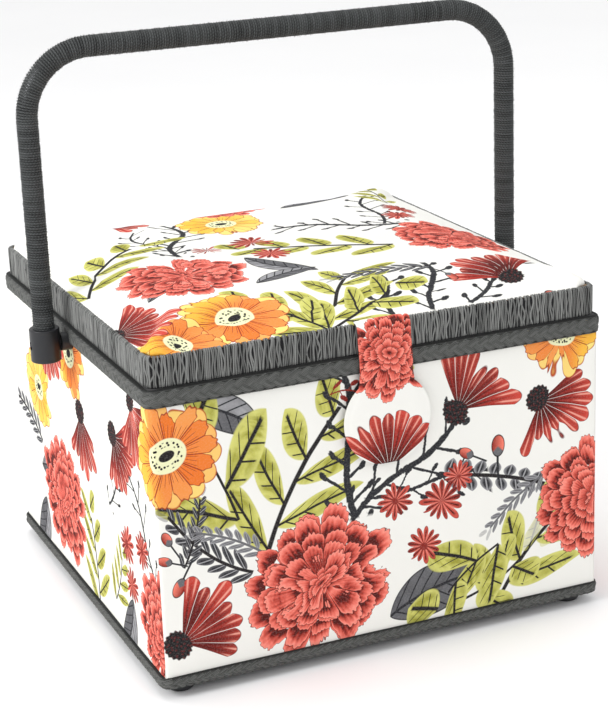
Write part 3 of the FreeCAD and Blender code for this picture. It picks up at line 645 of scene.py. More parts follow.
LEAF = {"leaves": 3.2, "long": 0.46, "wide": 0.36, "lean": 0.85}
FRONT_PRINT = [
    ("grey_leaf", -130, 188, 58, -30, {"bend": 0.25, "wide": 0.2}),
    ("sprig", -80, 84, 96, 70, {**LEAF, "bend": -0.2}),
    ("sprig", -98, 108, 52, 108, {"leaves": 1.2, "long": 0.9, "wide": 0.34, "bend": 0.1}),
    ("sprig", -90, 72, 66, 158, {**FERN, "bend": -0.35}),
    ("sprig", -134, 84, 42, 62, {**FERN, "bend": 0.2}),
    ("sprig", -84, 84, 46, 140, {**PALE_FERN, "bend": 0.25}),
    ("bud", -144, 104, 13, 30, {}),
    ("bud", -146, 90, 13, 70, {}),
    ("bud", -138, 72, 16, 150, {}),
    ("branch", -22, 94, 104, 88, {"bend": 0.14, "twigs": 6.0, "thick": 0.024}),
    ("branch", -24, 92, 98, 30, {"bend": 0.16, "twigs": 5.0, "thick": 0.022}),
    ("branch", -14, 104, 84, 8, {"bend": -0.1, "twigs": 4.0}),
    ("sprig", 42, 110, 76, -8, {**FERN, "bend": -0.15, "light": MIST, "lean": 0.3, "long": 0.15}),
    ("sprig", 110, 96, 46, 205, {**PALE_FERN, "bend": 0.2}),
    ("grey_leaf", 0, 22, 66, 14, {"bend": 0.3, "wide": 0.26, "light": STONE}),
    ("sprig", 76, 14, 84, 62, {**LEAF, "bend": -0.25, "leaves": 2.6}),
    ("sprig", 50, 22, 54, 10, {"leaves": 2.0, "long": 0.5, "bend": 0.3, "wide": 0.4}),
    ("sprig", 78, 56, 44, 205, {"leaves": 1.2, "long": 0.8, "wide": 0.36, "bend": 0.2}),
    ("branch", -36, 176, 34, -10, {"bend": 0.2, "twigs": 3.0, "bud": 0.07, "colour": BRICK}),
    ("peony", -46, 54, 52, 0, {"seed": 1}),
    ("coneflower", -138, 36, 48, 118, {"seed": 1, "span": 0.95}),
    ("coneflower", 50, 152, 46, 142, {"seed": 2, "span": 1.05}),
    ("coneflower", 108, 148, 43, 48, {"seed": 3, "span": 1.35}),
    ("gerbera", -141, 156, 37, 20, {"seed": 1}),
    ("gerbera", 124, 188, 31, 0, {"seed": 3, "yellow_side": (1, 0)}),
    ("bud", 78, 122, 19, 0, {}),
    ("bud", 56, 122, 14, 60, {}),
    ("daisy", 6, 99, 14, 0, {"seed": 1}),
    ("daisy", 38, 93, 18, 20, {"seed": 2}),
    ("daisy", 25, 66, 15, 40, {"seed": 3}),
    ("daisy", 50, 108, 12, 10, {"seed": 4}),
    ("peony", 148, 76, 45, 30, {"seed": 2}),
]
LEFT_PRINT = [
    ("branch", 150, 70, 80, 120, {"bend": 0.2}),
    ("branch", 60, 96, 70, 60, {"bend": -0.2}),
    ("sprig", 22, 10, 60, 84, {**LEAF, "bend": 0.2}),
    ("sprig", 60, 30, 40, 50, {**LEAF}),
    ("sprig", -90, 90, 66, 150, {**FERN, "bend": 0.3, "light": MIST}),
    ("grey_leaf", -96, 70, 50, 0, {}),
    ("grey_leaf", -92, 46, 52, 240, {"wide": 0.26}),
    ("grey_leaf", 96, 44, 52, 240, {}),
    ("gerbera", -8, 176, 34, 20, {"seed": 4}),
    ("peony", -44, 62, 48, 0, {"seed": 3}),
    ("gerbera", -89, 130, 32, 0, {"seed": 5, "deep": YELLOW, "mid": LEMON, "yellow_side": (1, 0)}),
    ("coneflower", -63, 184, 46, 40, {"seed": 4}),
    ("coneflower", 8, 138, 44, 10, {"seed": 5, "span": 0.9}),
    ("coneflower", 77, 146, 42, 50, {"seed": 6}),
    ("coneflower", 118, 178, 40, 30, {"seed": 7}),
    ("peony", 152, 40, 44, 40, {"seed": 4}),
    ("daisy", 90, 80, 16, 0, {"seed": 4}),
    ("daisy", 121, 86, 14, 30, {"seed": 5}),
    ("daisy", 96, 54, 14, 30, {"seed": 6}),
    ("gerbera", 159, 156, 37, 20, {"seed": 1}),
]
RIGHT_PRINT = [
    ("sprig", -60, 30, 96, 70, {"bend": 0.2, "leaves": 3.2, "long": 0.4}),
    ("branch", 20, 20, 96, 96, {"bend": 0.18}),
    ("peony", 76, 70, 48, 0, {"seed": 5}),
    ("gerbera", -20, 150, 32, 40, {"seed": 6}),
    ("coneflower", -104, 150, 42, 20, {"seed": 8}),
    ("peony", -116, 56, 44, 20, {"seed": 6}),
    ("coneflower", 112, 164, 40, -20, {"seed": 9}),
    ("daisy", 46, 118, 15, 0, {"seed": 6}),
    ("daisy", -62, 104, 14, 10, {"seed": 7}),
    ("grey_leaf", 30, 186, 58, -30, {}),
    ("sprig", 4, 60, 52, 40, {**FERN}),
    ("coneflower", 8, 40, 34, 10, {"seed": 10}),
    ("sprig", 128, 14, 78, 100, {"leaves": 3.0}),
    ("bud", 70, 150, 16, 0, {}),
]
BACK_PRINT = [
    ("sprig", -30, 40, 96, 110, {"bend": 0.2, "leaves": 3.2, "long": 0.4}),
    ("branch", 96, 30, 96, 84, {"bend": 0.18}),
    ("gerbera", -112, 140, 33, 40, {"seed": 7}),
    ("peony", -84, 56, 50, 0, {"seed": 7}),
    ("peony", 60, 138, 46, 10, {"seed": 8}),
    ("coneflower", 36, 66, 42, 10, {"seed": 11}),
    ("coneflower", -20, 160, 38, -20, {"seed": 12}),
    ("gerbera", 126, 96, 30, 80, {"seed": 8, "deep": YELLOW, "mid": LEMON}),
    ("daisy", -12, 112, 14, 0, {"seed": 8}),
    ("daisy", 92, 86, 14, 10, {"seed": 9}),
    ("grey_leaf", -140, 20, 60, 14, {}),
    ("grey_leaf", 60, 20, 60, 20, {}),
    ("sprig", -136, 92, 46, 20, {**FERN}),
    ("coneflower", 118, 170, 38, 20, {"seed": 13}),
    ("bud", 4, 34, 16, 10, {}),
]
LID_PRINT = [
    ("branch", -70, 10, 84, 62, {"bend": 0.3, "twigs": 6.0, "thick": 0.026}),
    ("branch", -70, 14, 70, 110, {"bend": -0.3, "twigs": 6.0}),
    ("branch", 98, 14, 90, 150, {"bend": 0.2, "twigs": 6.0, "thick": 0.024}),
    ("branch", 84, 20, 84, 84, {"bend": -0.2, "twigs": 5.0}),
    ("branch", 10, -152, 66, 70, {"bend": 0.2, "twigs": 4.0, "thick": 0.034, "bud": 0.045}),
    ("branch", 36, -152, 70, 62, {"bend": 0.16, "twigs": 5.0, "thick": 0.030, "bud": 0.045}),
    ("branch", 62, -152, 62, 48, {"bend": -0.2, "twigs": 4.0, "thick": 0.030, "bud": 0.045}),
    ("sprig", -34, -158, 76, 72, {**LEAF, "bend": -0.2, "long": 0.5}),
    ("sprig", -34, -158, 66, 30, {**LEAF, "bend": 0.1, "leaves": 2.2}),
    ("sprig", -34, -158, 60, 120, {**LEAF, "bend": 0.1, "leaves": 2.2}),
    ("sprig", 64, -34, 92, 150, {**LEAF, "bend": 0.1, "long": 0.3}),
    ("sprig", -148, -20, 84, 66, {**LEAF, "bend": -0.3, "long": 0.36}),
    ("sprig", 118, 84, 44, 80, {**LEAF}),
    ("sprig", 60, -94, 60, 160, {**FERN}),
    ("grey_leaf", -4, -66, 60, 120, {"wide": 0.16}),
    ("grey_leaf", -50, -76, 50, 20, {"wide": 0.16}),
    ("grey_leaf", -120, -70, 40, 30, {"wide": 0.16}),
    ("grey_leaf", 40, 100, 60, 10, {"wide": 0.14}),
    ("gerbera", -84, -124, 37, 30, {"seed": 9, "yellow_side": (-0.3, 1)}),
    ("gerbera", -129, -148, 33, 0, {"seed": 10}),
    ("peony", -84, -36, 46, 0, {"seed": 9}),
    ("coneflower", -156, -96, 48, 78, {"seed": 14}),
    ("gerbera", -14, 78, 33, 0, {"seed": 11, "deep": YELLOW, "mid": LEMON}),
    ("peony", 4, 124, 30, 20, {"seed": 12}),
    ("coneflower", -86, 126, 40, 80, {"seed": 15}),
    ("coneflower", 100, -126, 46, 190, {"seed": 16}),
    ("peony", 112, -26, 46, 20, {"seed": 10}),
    ("daisy", -15, 20, 18, 0, {"seed": 10}),
    ("daisy", -48, 16, 14, 30, {"seed": 11}),
    ("daisy", -14, -13, 15, 30, {"seed": 12}),
    ("daisy", 116, 62, 16, 30, {"seed": 13}),
    ("daisy", 104, 38, 14, 30, {"seed": 14}),
    ("bud", 65, -115, 14, 200, {}),
    ("bud", 118, -160, 20, 20, {}),
]
TAB_PRINT = [
    ("peony", 2, 196, 31, 0, {"seed": 12}),
    ("coneflower", 0, 122, 44, 180, {"seed": 18, "span": 1.0}),
]
CUSHION_PRINT = [
    ("peony", -8, 48, 34, 0, {"seed": 13}),
    ("daisy", 24, 76, 14, 0, {"seed": 14}),
    ("sprig", -30, 86, 40, -20, {}),
    ("gerbera", 30, 30, 18, 0, {"seed": 13}),
]


# ---------------------------------------------------------------- other materials

def yarn_material(name, dark, light, ply=0.0):
    """Yarn: shade varies it by strand; its crests are paler than its flanks as painted highlight and painted
    shade, and ply twists it, also with painted highlight and shade.
    """
    tree = Tree(name)
    shade = tree.attribute("shade", "Fac")
    strand = tree.attribute("strand")
    along, around = tree.split(strand)
    fibre = tree.noise(tree.vector("MULTIPLY", strand, (1.6, 6.0, 1.0)), 1.0, 3.0)
    tone = shade * 0.5 + fibre * 0.7 - 0.42
    # painted highlight on the side of each thread that faces out, painted shade on its flanks and in the gaps
    # between threads
    tone = tone + around.rise(2.6, 0.2) * 0.5
    height = fibre
    if ply:
        twist = (along * ply + around * 1.5).sine()
        # the twist also paints the colour: painted highlight on the ply's ridges, painted shade in its grooves,
        # in step with the bump
        tone = tone + twist * 0.2
        height = height + twist * 1.2
    tree.bump(height, 0.00025, 0.8)
    colour = tree.field("ValToRGB", "Color", {"Fac": tone})
    set_ramp(colour.socket.node.color_ramp, [(0.0, dark), (1.0, light)])
    return tree.finish(colour, 0.6, Specular_IOR_Level=0.25)


def plain_cloth(name, base, dark):
    """Unprinted cloth with threads both ways and slight wear."""
    tree = Tree(name)
    scale = 1600.0
    place = tree.field("TexCoord", "Object")
    threads = tree.noise(tree.vector("MULTIPLY", place, (scale, scale, scale * 0.25)), 1.0, 2.0)
    cross = tree.noise(tree.vector("MULTIPLY", place, (scale * 0.25, scale * 0.25, scale)), 1.0, 2.0)
    both = threads * 0.5 + cross * 0.5
    colour = tree.mix(both.rise(0.3, 0.7), dark, base)
    colour = tree.mix(tree.noise(place, 9.0).rise(0.3, 0.75) * 0.25, colour, dark)
    tree.bump(both, 0.0001, 0.6)
    return tree.finish(colour, 0.88, Specular_IOR_Level=0.2, Sheen_Weight=0.2)


def moulded_plastic(name, base, rough=0.42, speck=0.15):
    """Moulded plastic: fine texture, slight tone drift and rubbed high spots."""
    tree = Tree(name)
    place = tree.field("TexCoord", "Object")
    grain = tree.noise(place, 2600.0, 2.0)
    drift = tree.noise(place, 35.0, 3.0)
    worn = tuple(min(1.0, 1.5 * c + 0.02) for c in base)
    colour = tree.mix(drift.rise(0.35, 0.75) * speck, base, worn)
    tree.bump(grain, 0.00004, 0.5)
    return tree.finish(colour, drift * 0.14 + (rough - 0.07), Specular_IOR_Level=0.45)


def brushed_metal(name, base, rough=0.32):
    """Metal with fine lines along x and light staining."""
    tree = Tree(name)
    place = tree.field("TexCoord", "Object")
    lines = tree.noise(tree.vector("MULTIPLY", place, (40.0, 900.0, 900.0)), 1.0, 3.0)
    stain = tree.noise(place, 60.0, 3.0)
    colour = tree.mix(stain.rise(0.45, 0.8) * 0.35, base, tuple(0.6 * c for c in base))
    tree.bump(lines, 0.00003, 0.5)
    return tree.finish(colour, lines * 0.2 + (rough - 0.1), Metallic=1.0)


def raw_board(name):
    """Pressed fibre board with a smooth face."""
    tree = Tree(name)
    place = tree.field("TexCoord", "Object")
    fibre = tree.noise(tree.vector("MULTIPLY", place, (700.0, 700.0, 120.0)), 1.0, 4.0)
    colour = tree.mix(fibre, (0.22, 0.13, 0.065), (0.42, 0.28, 0.16))
    tree.bump(fibre, 0.00008, 0.5)
    return tree.finish(colour, 0.7)


# ---------------------------------------------------------------- paths and threads

def ring_at(half, corner, run):
    """Points and outward normals of a rounded square at distances from the start of its front straight."""
    straight = 2 * (half - corner)
    side = straight + QUARTER * corner
    run = np.mod(run, 4 * side)
    turn = np.floor(run / side)
    left = run - turn * side
    angle = np.clip(left - straight, 0, None) / corner
    x = -(half - corner) + np.minimum(left, straight) + corner * np.sin(angle)
    y = -(half - corner) - corner * np.cos(angle)
    nx, ny = np.sin(angle), -np.cos(angle)
    c, s = np.cos(turn * QUARTER), np.sin(turn * QUARTER)
    points = np.stack([x * c - y * s, x * s + y * c], axis=-1)
    normals = np.stack([nx * c - ny * s, nx * s + ny * c], axis=-1)
    return points, normals


def ring_length(half, corner):
    return 8 * (half - corner) + TURN * corner


def level(flat):
    """Vectors in plan as vectors in space."""
    return np.column_stack([flat, np.zeros(len(flat))])


class Threads:
    """Collects many round threads into one mesh, with their strand coordinates and shades."""

    def __init__(self):
        self.points, self.faces, self.strand, self.shade = [], [], [], []
        self.count = 0

    def add(self, line, radius, side_hint, sides=6, shade=0.5, closed=False):
        """A tube along line (n, 3). side_hint (n, 3) fixes where round the tube the first point lies."""
        line = np.asarray(line, float)
        count = len(line)
        tangent = (np.roll(line, -1, 0) - np.roll(line, 1, 0)) if closed else np.gradient(line, axis=0)
        tangent /= np.linalg.norm(tangent, axis=1, keepdims=True)
        across = np.cross(tangent, side_hint)
        across /= np.linalg.norm(across, axis=1, keepdims=True)
        outward = np.cross(across, tangent)
        radius = np.broadcast_to(np.asarray(radius, float), (count,))
        angle = np.arange(sides) * TURN / sides
        ring = (outward[:, None, :] * np.cos(angle)[None, :, None]
                + across[:, None, :] * np.sin(angle)[None, :, None]) * radius[:, None, None]
        points = line[:, None, :] + ring
        run = np.concatenate([[0], np.cumsum(np.linalg.norm(np.diff(line, axis=0), axis=1))]) / MM
        strand = np.zeros((count, sides, 3))
        strand[..., 0] = run[:, None]
        strand[..., 1] = np.minimum(angle, TURN - angle)[None, :] * 2
        self.points.append(points.reshape(-1, 3))
        self.strand.append(strand.reshape(-1, 3))
        self.shade.append(np.full(count * sides, shade))
        i, j = np.meshgrid(np.arange(count if closed else count - 1), np.arange(sides), indexing="ij")
        k, nxt = (j + 1) % sides, (i + 1) % count
        quads = np.stack([i * sides + j, i * sides + k, nxt * sides + k, nxt * sides + j], axis=-1)
        self.faces.extend((quads.reshape(-1, 4) + self.count).tolist())
        if not closed:
            self.faces.append([self.count + j for j in reversed(range(sides))])
            self.faces.append([self.count + (count - 1) * sides + j for j in range(sides)])
        self.count += count * sides

    def piece(self, name, body, material):
        made = new_piece(name, np.concatenate(self.points), self.faces, body, material)
        set_attribute(made, "strand", np.concatenate(self.strand))
        set_attribute(made, "shade", np.concatenate(self.shade), "FLOAT")
        return made


# ---------------------------------------------------------------- braids round the box

BRAID_GAUGE = 0.92 * MM

def plait(threads, runs, corner, node, period, per_strand):
    """A flat three-strand plait glued to the box along part of its outline, over edge cords in the darkest yarn
    tone, which is painted shade for the shadowed gaps along the braid's edges.
    """
    low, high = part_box(node)[0][2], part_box(node)[1][2]
    tall, middle = high - low, (high + low) / 2
    upper, lower = middle + tall / 2 - 0.45 * MM, middle - tall / 2 + 0.9 * MM
    cords = ((-0.4, upper), (0.5, upper), (1.3, upper - 0.2 * MM), (0.6, lower), (1.4, lower))
    for depth, height in cords:
        flat, normal = ring_at(HALF, corner, runs)
        line = np.column_stack([flat + normal * depth * MM, np.full(len(runs), height)])
        # shade -0.25 gives these edge threads the darkest tone: painted shade for the shadowed gap between the
        # braid and the lid band
        threads.add(line, 0.6 * MM, level(normal), sides=5, shade=-0.25)
    wide = per_strand * BRAID_GAUGE
    swing = tall / 2 - wide / 2
    for strand in range(3):
        turn = TURN * runs / period + strand * TURN / 3
        lateral = swing * np.sin(turn)
        lift = 0.50 * MM * np.sin(2 * turn)
        lean = np.arctan(swing * TURN / period * np.cos(turn))
        for index in range(per_strand):
            offset = (index - (per_strand - 1) / 2) * BRAID_GAUGE * 0.92
            wobble = 0.10 * MM * np.sin(runs / (3.1 * MM) + index * 2 + strand)
            height = middle + (lateral + offset * np.cos(lean) + wobble)
            bulge = (1 - (2 * offset / wide) ** 2) * 0.55 * MM
            depth = 1.15 * MM + lift + bulge
            flat, normal = ring_at(HALF, corner, runs - offset * np.sin(lean))
            line = np.column_stack([flat + normal * depth[:, None], height])
            # threads nearer a strand's edges are darker: painted shade where the plait's strands tuck under
            # each other
            shade = RNG.uniform(0.3, 1.0) * (1 - abs(offset) / wide)
            threads.add(line, BRAID_GAUGE * 0.52, level(normal), sides=5, shade=shade)


def make_braids(material):
    corner = 5 * MM
    length = ring_length(HALF, corner)
    quarter = QUARTER * corner
    back_middle = (length - quarter * 4) / 4 * 2.5 + quarter * 2
    hinge_low, hinge_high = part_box("right_hinge_box_leaf")[0][0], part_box("right_hinge_box_leaf")[1][0]
    gap = 0.6 * MM
    step = 1.3 * MM
    threads = Threads()
    stretches = ((back_middle + hinge_high + gap - length, back_middle - hinge_high - gap),
                 (back_middle - hinge_low + gap, back_middle + hinge_low - gap))
    for start, end in stretches:
        plait(threads, np.arange(start, end, step), corner, "top_braid", 21 * MM, 6)
    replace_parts(threads.piece("top_braid_plait", "box", material), "top_braid", "back_top_braid")
    threads = Threads()
    run = np.linspace(0, length, int(length / step) + 1)
    plait(threads, run, corner, "base_braid", length / round(length / (15 * MM)), 4)
    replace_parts(threads.piece("base_braid_plait", "box", material), "base_braid")


# ---------------------------------------------------------------- yarn band and handle wrap

def make_lid_band(material, dark_material):
    """Upright yarn strands side by side round the lid, turned in over its top edge."""
    gauge = 1.22 * MM
    corner = 8 * MM
    half = LID_HALF - 0.80 * MM
    length = ring_length(half, corner)
    count = int(length / gauge)
    threads = Threads()
    tall = BAND_TOP - BAND_LOW
    share = np.linspace(0, 1, 11)
    for index in range(count):
        start = (index + RNG.uniform(-0.18, 0.18)) * length / count
        slant = RNG.normal(0, 0.55) * MM + 0.5 * MM * math.sin(index * 0.37)
        bend = RNG.normal(0, 0.45) * MM
        run = start + slant * (share - 0.5) + bend * np.sin(share * math.pi * 2 + RNG.uniform(0, TURN))
        flat, normal = ring_at(half, corner, run)
        proud = RNG.uniform(-0.12, 0.28) * MM
        heights = BAND_LOW + 0.75 * MM + share * (tall - 1.2 * MM)
        upright = np.column_stack([flat + normal * proud, heights])
        inner_low = np.append(flat[0] - normal[0] * 1.2 * MM, BAND_LOW + 0.55 * MM)
        over = [np.append(flat[-1] - normal[-1] * back * MM, BAND_TOP + above * MM)
                for back, above in ((0.5, 0.35), (1.5, 0.55), (2.6, -0.1))]
        line = np.vstack([inner_low, upright, over])
        hint = level(np.vstack([normal[0], normal, np.repeat(normal[-1:], 3, 0)]))
        hint[-3:, 2] = 1.0
        hint[0, 2] = -0.6
        threads.add(line, RNG.uniform(0.52, 0.74) * MM, hint, sides=6, shade=RNG.uniform(0, 1))
    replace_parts(threads.piece("lid_band_yarn", "lid", material), "lid_band")
    columns = 240
    run = np.linspace(0, length, columns + 1)[:-1]
    foot = BAND_LOW + 0.4 * MM
    rows = []
    for inset, height in ((1.6, foot), (0.75, foot), (0.75, BAND_TOP), (1.6, BAND_TOP)):
        flat, _ = ring_at(half - inset * MM + 0.8 * MM, corner, run)
        rows.append(np.column_stack([flat, np.full(columns, height)]))
    faces = grid_faces(4, columns, closed=True)
    last = 3 * columns
    faces += [(j, (j + 1) % columns, last + (j + 1) % columns, last + j) for j in range(columns)]
    new_piece("lid_band_backing", np.concatenate(rows), faces, "lid", dark_material)


def bail_at(run):
    """Points and normals of the handle's centre line at distances from its left foot, and its length."""
    low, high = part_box("handle_wrap")
    thick = high[1] - low[1]
    half = high[0] - thick / 2
    top = high[2] - thick / 2
    bend = 42 * MM
    leg = top - bend - low[2]
    arc = QUARTER * bend
    bar = 2 * (half - bend)
    total = 2 * leg + 2 * arc + bar
    mirror = run > total / 2
    r = np.where(mirror, total - run, run)
    angle = np.clip(r - leg, 0, arc) / bend
    x = -half + bend * (1 - np.cos(angle)) + np.clip(r - leg - arc, 0, None)
    z = low[2] + np.minimum(r, leg) + bend * np.sin(angle)
    nx, nz = -np.cos(angle), np.sin(angle)
    sign = np.where(mirror, -1.0, 1.0)
    points = np.stack([x * sign, np.zeros_like(x), z], axis=-1)
    normals = np.stack([nx * sign, np.zeros_like(x), nz], axis=-1)
    return points, normals, total


def make_handle_wrap(material):
    """Yarn wound closely round the handle, with loose fibres standing off it."""
    _, _, total = bail_at(np.zeros(1))
    pitch, gauge = 1.60 * MM, 0.90 * MM
    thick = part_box("handle_wrap")[1][1]
    turns = total / pitch
    steps = int(turns * 18)
    run = np.linspace(0, total, steps)
    drift = 0.35 * MM * np.sin(run / (19 * MM)) + 0.2 * MM * np.sin(run / (7.3 * MM))
    angle = TURN * (run + drift) / pitch
    centre, normal, _ = bail_at(run)
    side = np.array([0.0, 1.0, 0.0])
    out = normal * np.cos(angle)[:, None] + side * np.sin(angle)[:, None]
    wobble = 0.07 * MM * np.sin(run / (1.37 * MM)) + 0.05 * MM * np.sin(run / (0.61 * MM))
    line = centre + out * (thick - gauge - 0.05 * MM + wobble)[:, None]
    threads = Threads()
    threads.add(line, gauge, out)
    wrap = threads.piece("handle_yarn", "handle", material)
    tone = np.interp(np.repeat(run, 6), np.linspace(0, total, 700), RNG.uniform(0.1, 0.9, 700))
    wrap.data.attributes["shade"].data.foreach_set("value", tone)
    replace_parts(wrap, "handle_wrap")
    roots = RNG.uniform(2 * MM, total - 2 * MM, 5200)
    centre, normal, _ = bail_at(roots)
    turn = RNG.uniform(0, TURN, len(roots))
    out = normal * np.cos(turn)[:, None] + side * np.sin(turn)[:, None]
    ahead, _, _ = bail_at(roots + 0.5 * MM)
    lean = (ahead - centre) / (0.5 * MM)
    across = np.cross(lean, out)
    fibres = Threads()
    for i in range(len(roots)):
        drift = lean[i] * RNG.normal(0, 0.30) + across[i] * RNG.normal(0, 0.55)
        reach = thick + RNG.uniform(0.15, 0.75) * MM
        line = [centre[i] + out[i] * (thick - 0.7 * MM),
                centre[i] + out[i] * thick * 0.995 + drift * 0.35 * MM,
                centre[i] + out[i] * reach + drift * MM]
        hint = np.tile(across[i] + lean[i] * 0.3, (3, 1))
        fibres.add(line, [0.11 * MM, 0.09 * MM, 0.03 * MM], hint, sides=3, shade=RNG.uniform(0.3, 1.0))
    fibres.piece("handle_fibres", "handle", material)


# ---------------------------------------------------------------- cloth panels on the body

def wall_cover(name, node, side, material):
    """Printed cotton over one wall, from corner to corner and over the wall's top edge."""
    corner = 2.0 * MM
    columns, rows = 150, 90
    share = np.linspace(0, 1, columns)
    levels = [(BODY_FLOOR + 0.3 * MM + t * (WALL_TOP - 3.4 * MM - BODY_FLOOR), 0.0)
              for t in np.linspace(0, 1, rows)]
    levels += [(WALL_TOP - 2.6 * MM, 0.1 * MM), (WALL_TOP - 2.3 * MM, 0.5 * MM)]
    points = np.zeros((len(levels), columns, 3))
    cloth = np.zeros_like(points)
    for row, (height, inset) in enumerate(levels):
        half = HALF - inset
        bend = max(corner - inset, 0.25 * MM)
        quarter = QUARTER * bend
        straight = 2 * (half - bend)
        run = side * (straight + quarter) - quarter / 2 + share * (straight + quarter)
        flat, normal = ring_at(half, bend, run)
        across = (share - 0.5) * 300
        ripple = np.sin(across * 0.045 + height * 31 + side) * np.sin(height * 47 + side * 2 + across * 0.02)
        fade = min(1.0, max(0.0, (WALL_TOP - height) / (20 * MM))) * (1 - (2 * share - 1) ** 8)
        points[row, :, :2] = flat + normal * (0.10 * ripple * fade * MM - 0.12 * MM)[:, None]
        points[row, :, 2] = height
        cloth[row, :, 0] = (run - side * (straight + quarter) - straight / 2) / MM
        cloth[row, :, 1] = (height + inset) / MM
    cover = solid_sheet(name, points, 0.45 * MM, cloth, "box", material)
    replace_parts(cover, node)


# ---------------------------------------------------------------- padded lid

def cloth_puff(piece, pinned, limit, pressure=4.0, frames=20):
    """Inflates a closed mesh with a short cloth simulation. No point goes further than limit."""
    start = np.array([v.co for v in piece.data.vertices])
    group = piece.vertex_groups.new(name="pinned")
    for index in np.nonzero(pinned(start))[0]:
        group.add([int(index)], 1.0, "REPLACE")
    cloth = piece.modifiers.new("puff", "CLOTH")
    cloth.settings.vertex_group_mass = "pinned"
    cloth.settings.quality = 6
    cloth.settings.mass = 0.3
    cloth.settings.tension_stiffness = 12
    cloth.settings.compression_stiffness = 12
    cloth.settings.bending_stiffness = 0.6
    cloth.settings.use_pressure = True
    cloth.settings.uniform_pressure_force = pressure
    cloth.settings.effector_weights.gravity = 0
    cloth.collision_settings.use_collision = False
    cloth.point_cache.frame_start = 1
    cloth.point_cache.frame_end = frames
    scene = bpy.context.scene
    for number in range(1, frames + 1):
        scene.frame_set(number)
    shape = piece.evaluated_get(bpy.context.evaluated_depsgraph_get())
    moved = np.empty(len(start) * 3)
    shape.data.vertices.foreach_get("co", moved)
    moved = moved.reshape(-1, 3)
    piece.modifiers.remove(cloth)
    piece.vertex_groups.remove(group)
    scene.frame_set(1)
    step = moved - start
    far = np.linalg.norm(step, axis=1, keepdims=True)
    moved = start + step * np.minimum(1.0, limit / np.maximum(far, 1e-9))
    piece.data.vertices.foreach_set("co", moved.ravel())
    piece.data.update()


def make_lid_pad(material):
    """The lid's padded cover: a slab that a cloth simulation fills out, tucked behind the yarn band."""
    count = 400
    base = BAND_TOP - 0.3 * MM
    rings = ((0.0, 0.0), (0.3, 2.5), (2.0, 6.0), (6.5, 8.8), (13.0, 10.2))
    rows = []
    for inset, rise in rings:
        half = LID_HALF - (1.9 + inset) * MM
        corner = max((9 - inset * 0.3) * MM, 4 * MM)
        flat, _ = ring_at(half, corner, np.linspace(0, ring_length(half, corner), count + 1)[:-1])
        rows.append(np.column_stack([flat, np.full(count, base + rise * MM)]))
    points = np.concatenate(rows)
    faces = grid_faces(len(rings), count, closed=True)
    faces.append(list(reversed(range(count))))
    faces.append([(len(rings) - 1) * count + j for j in range(count)])
    pad = new_piece("lid_pad", points, faces, None, material)
    remesh = pad.modifiers.new("even", "REMESH")
    remesh.mode = "VOXEL"
    remesh.voxel_size = 4.0 * MM
    apply_modifiers(pad)
    cloth_puff(pad, lambda p: p[:, 2] < base + 1.2 * MM, limit=7 * MM)
    subdivide = pad.modifiers.new("smooth", "SUBSURF")
    subdivide.levels = subdivide.render_levels = 1
    apply_modifiers(pad)
    shape = np.array([v.co for v in pad.data.vertices])
    z = shape[:, 2]
    limit = PAD_TOP - 1.5 * MM
    soft = np.where(z > limit, limit + 1.5 * MM * np.tanh((z - limit) / (3 * MM)), z)
    shape[:, 2] = np.maximum(soft, BAND_TOP - 2 * MM)
    inside = LID_HALF - 1.2 * MM
    near = np.max(np.abs(shape[:, :2]), axis=1)
    low = shape[:, 2] < BAND_TOP + 3 * MM
    shrink = np.where(low & (near > inside), inside / np.maximum(near, 1e-9), 1.0)
    shape[:, :2] *= shrink[:, None]
    pucker(shape)
    pad.data.vertices.foreach_set("co", shape.ravel())
    pad.data.update()
    over = np.clip(PAD_TOP - 2 * MM - shape[:, 2], 0, None)
    edge = np.max(np.abs(shape[:, :2]), axis=1) > LID_HALF - 30 * MM
    direction = np.where(np.abs(shape[:, :2]) > (LID_HALF - 22 * MM), np.sign(shape[:, :2]), 0.0)
    cloth = shape[:, :2] + direction * (over * 0.7 * edge)[:, None]
    set_attribute(pad, "cloth", np.column_stack([cloth / MM, np.zeros(len(shape))]))
    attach(pad, "lid")
    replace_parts(pad, "lid_cover", "lid_foam")


def pucker(shape):
    """Small pulls in the cloth where it is tucked in along the lid's edges."""
    edge = LID_HALF - np.max(np.abs(shape[:, :2]), axis=1)
    along = np.where(np.abs(shape[:, 0]) > np.abs(shape[:, 1]), shape[:, 1], shape[:, 0])
    waves = (np.sin(along / (5.3 * MM)) + 0.7 * np.sin(along / (3.1 * MM) + 1.3)
             + 0.8 * np.sin(along / (11.0 * MM) + 0.4))
    fade = np.clip(1 - edge / (26 * MM), 0, 1) ** 1.5 * np.clip((shape[:, 2] - BAND_TOP) / (4 * MM), 0, 1)
    shape[:, 2] += waves * fade * 0.28 * MM


def apply_modifiers(piece):
    """Replaces the piece's mesh by what its modifiers make of it."""
    graph = bpy.context.evaluated_depsgraph_get()
    made = bpy.data.meshes.new_from_object(piece.evaluated_get(graph))
    old = piece.data
    piece.modifiers.clear()
    piece.data = made
    bpy.data.meshes.remove(old)
    made.polygons.foreach_set("use_smooth", [True] * len(made.polygons))


# ---------------------------------------------------------------- closure tab

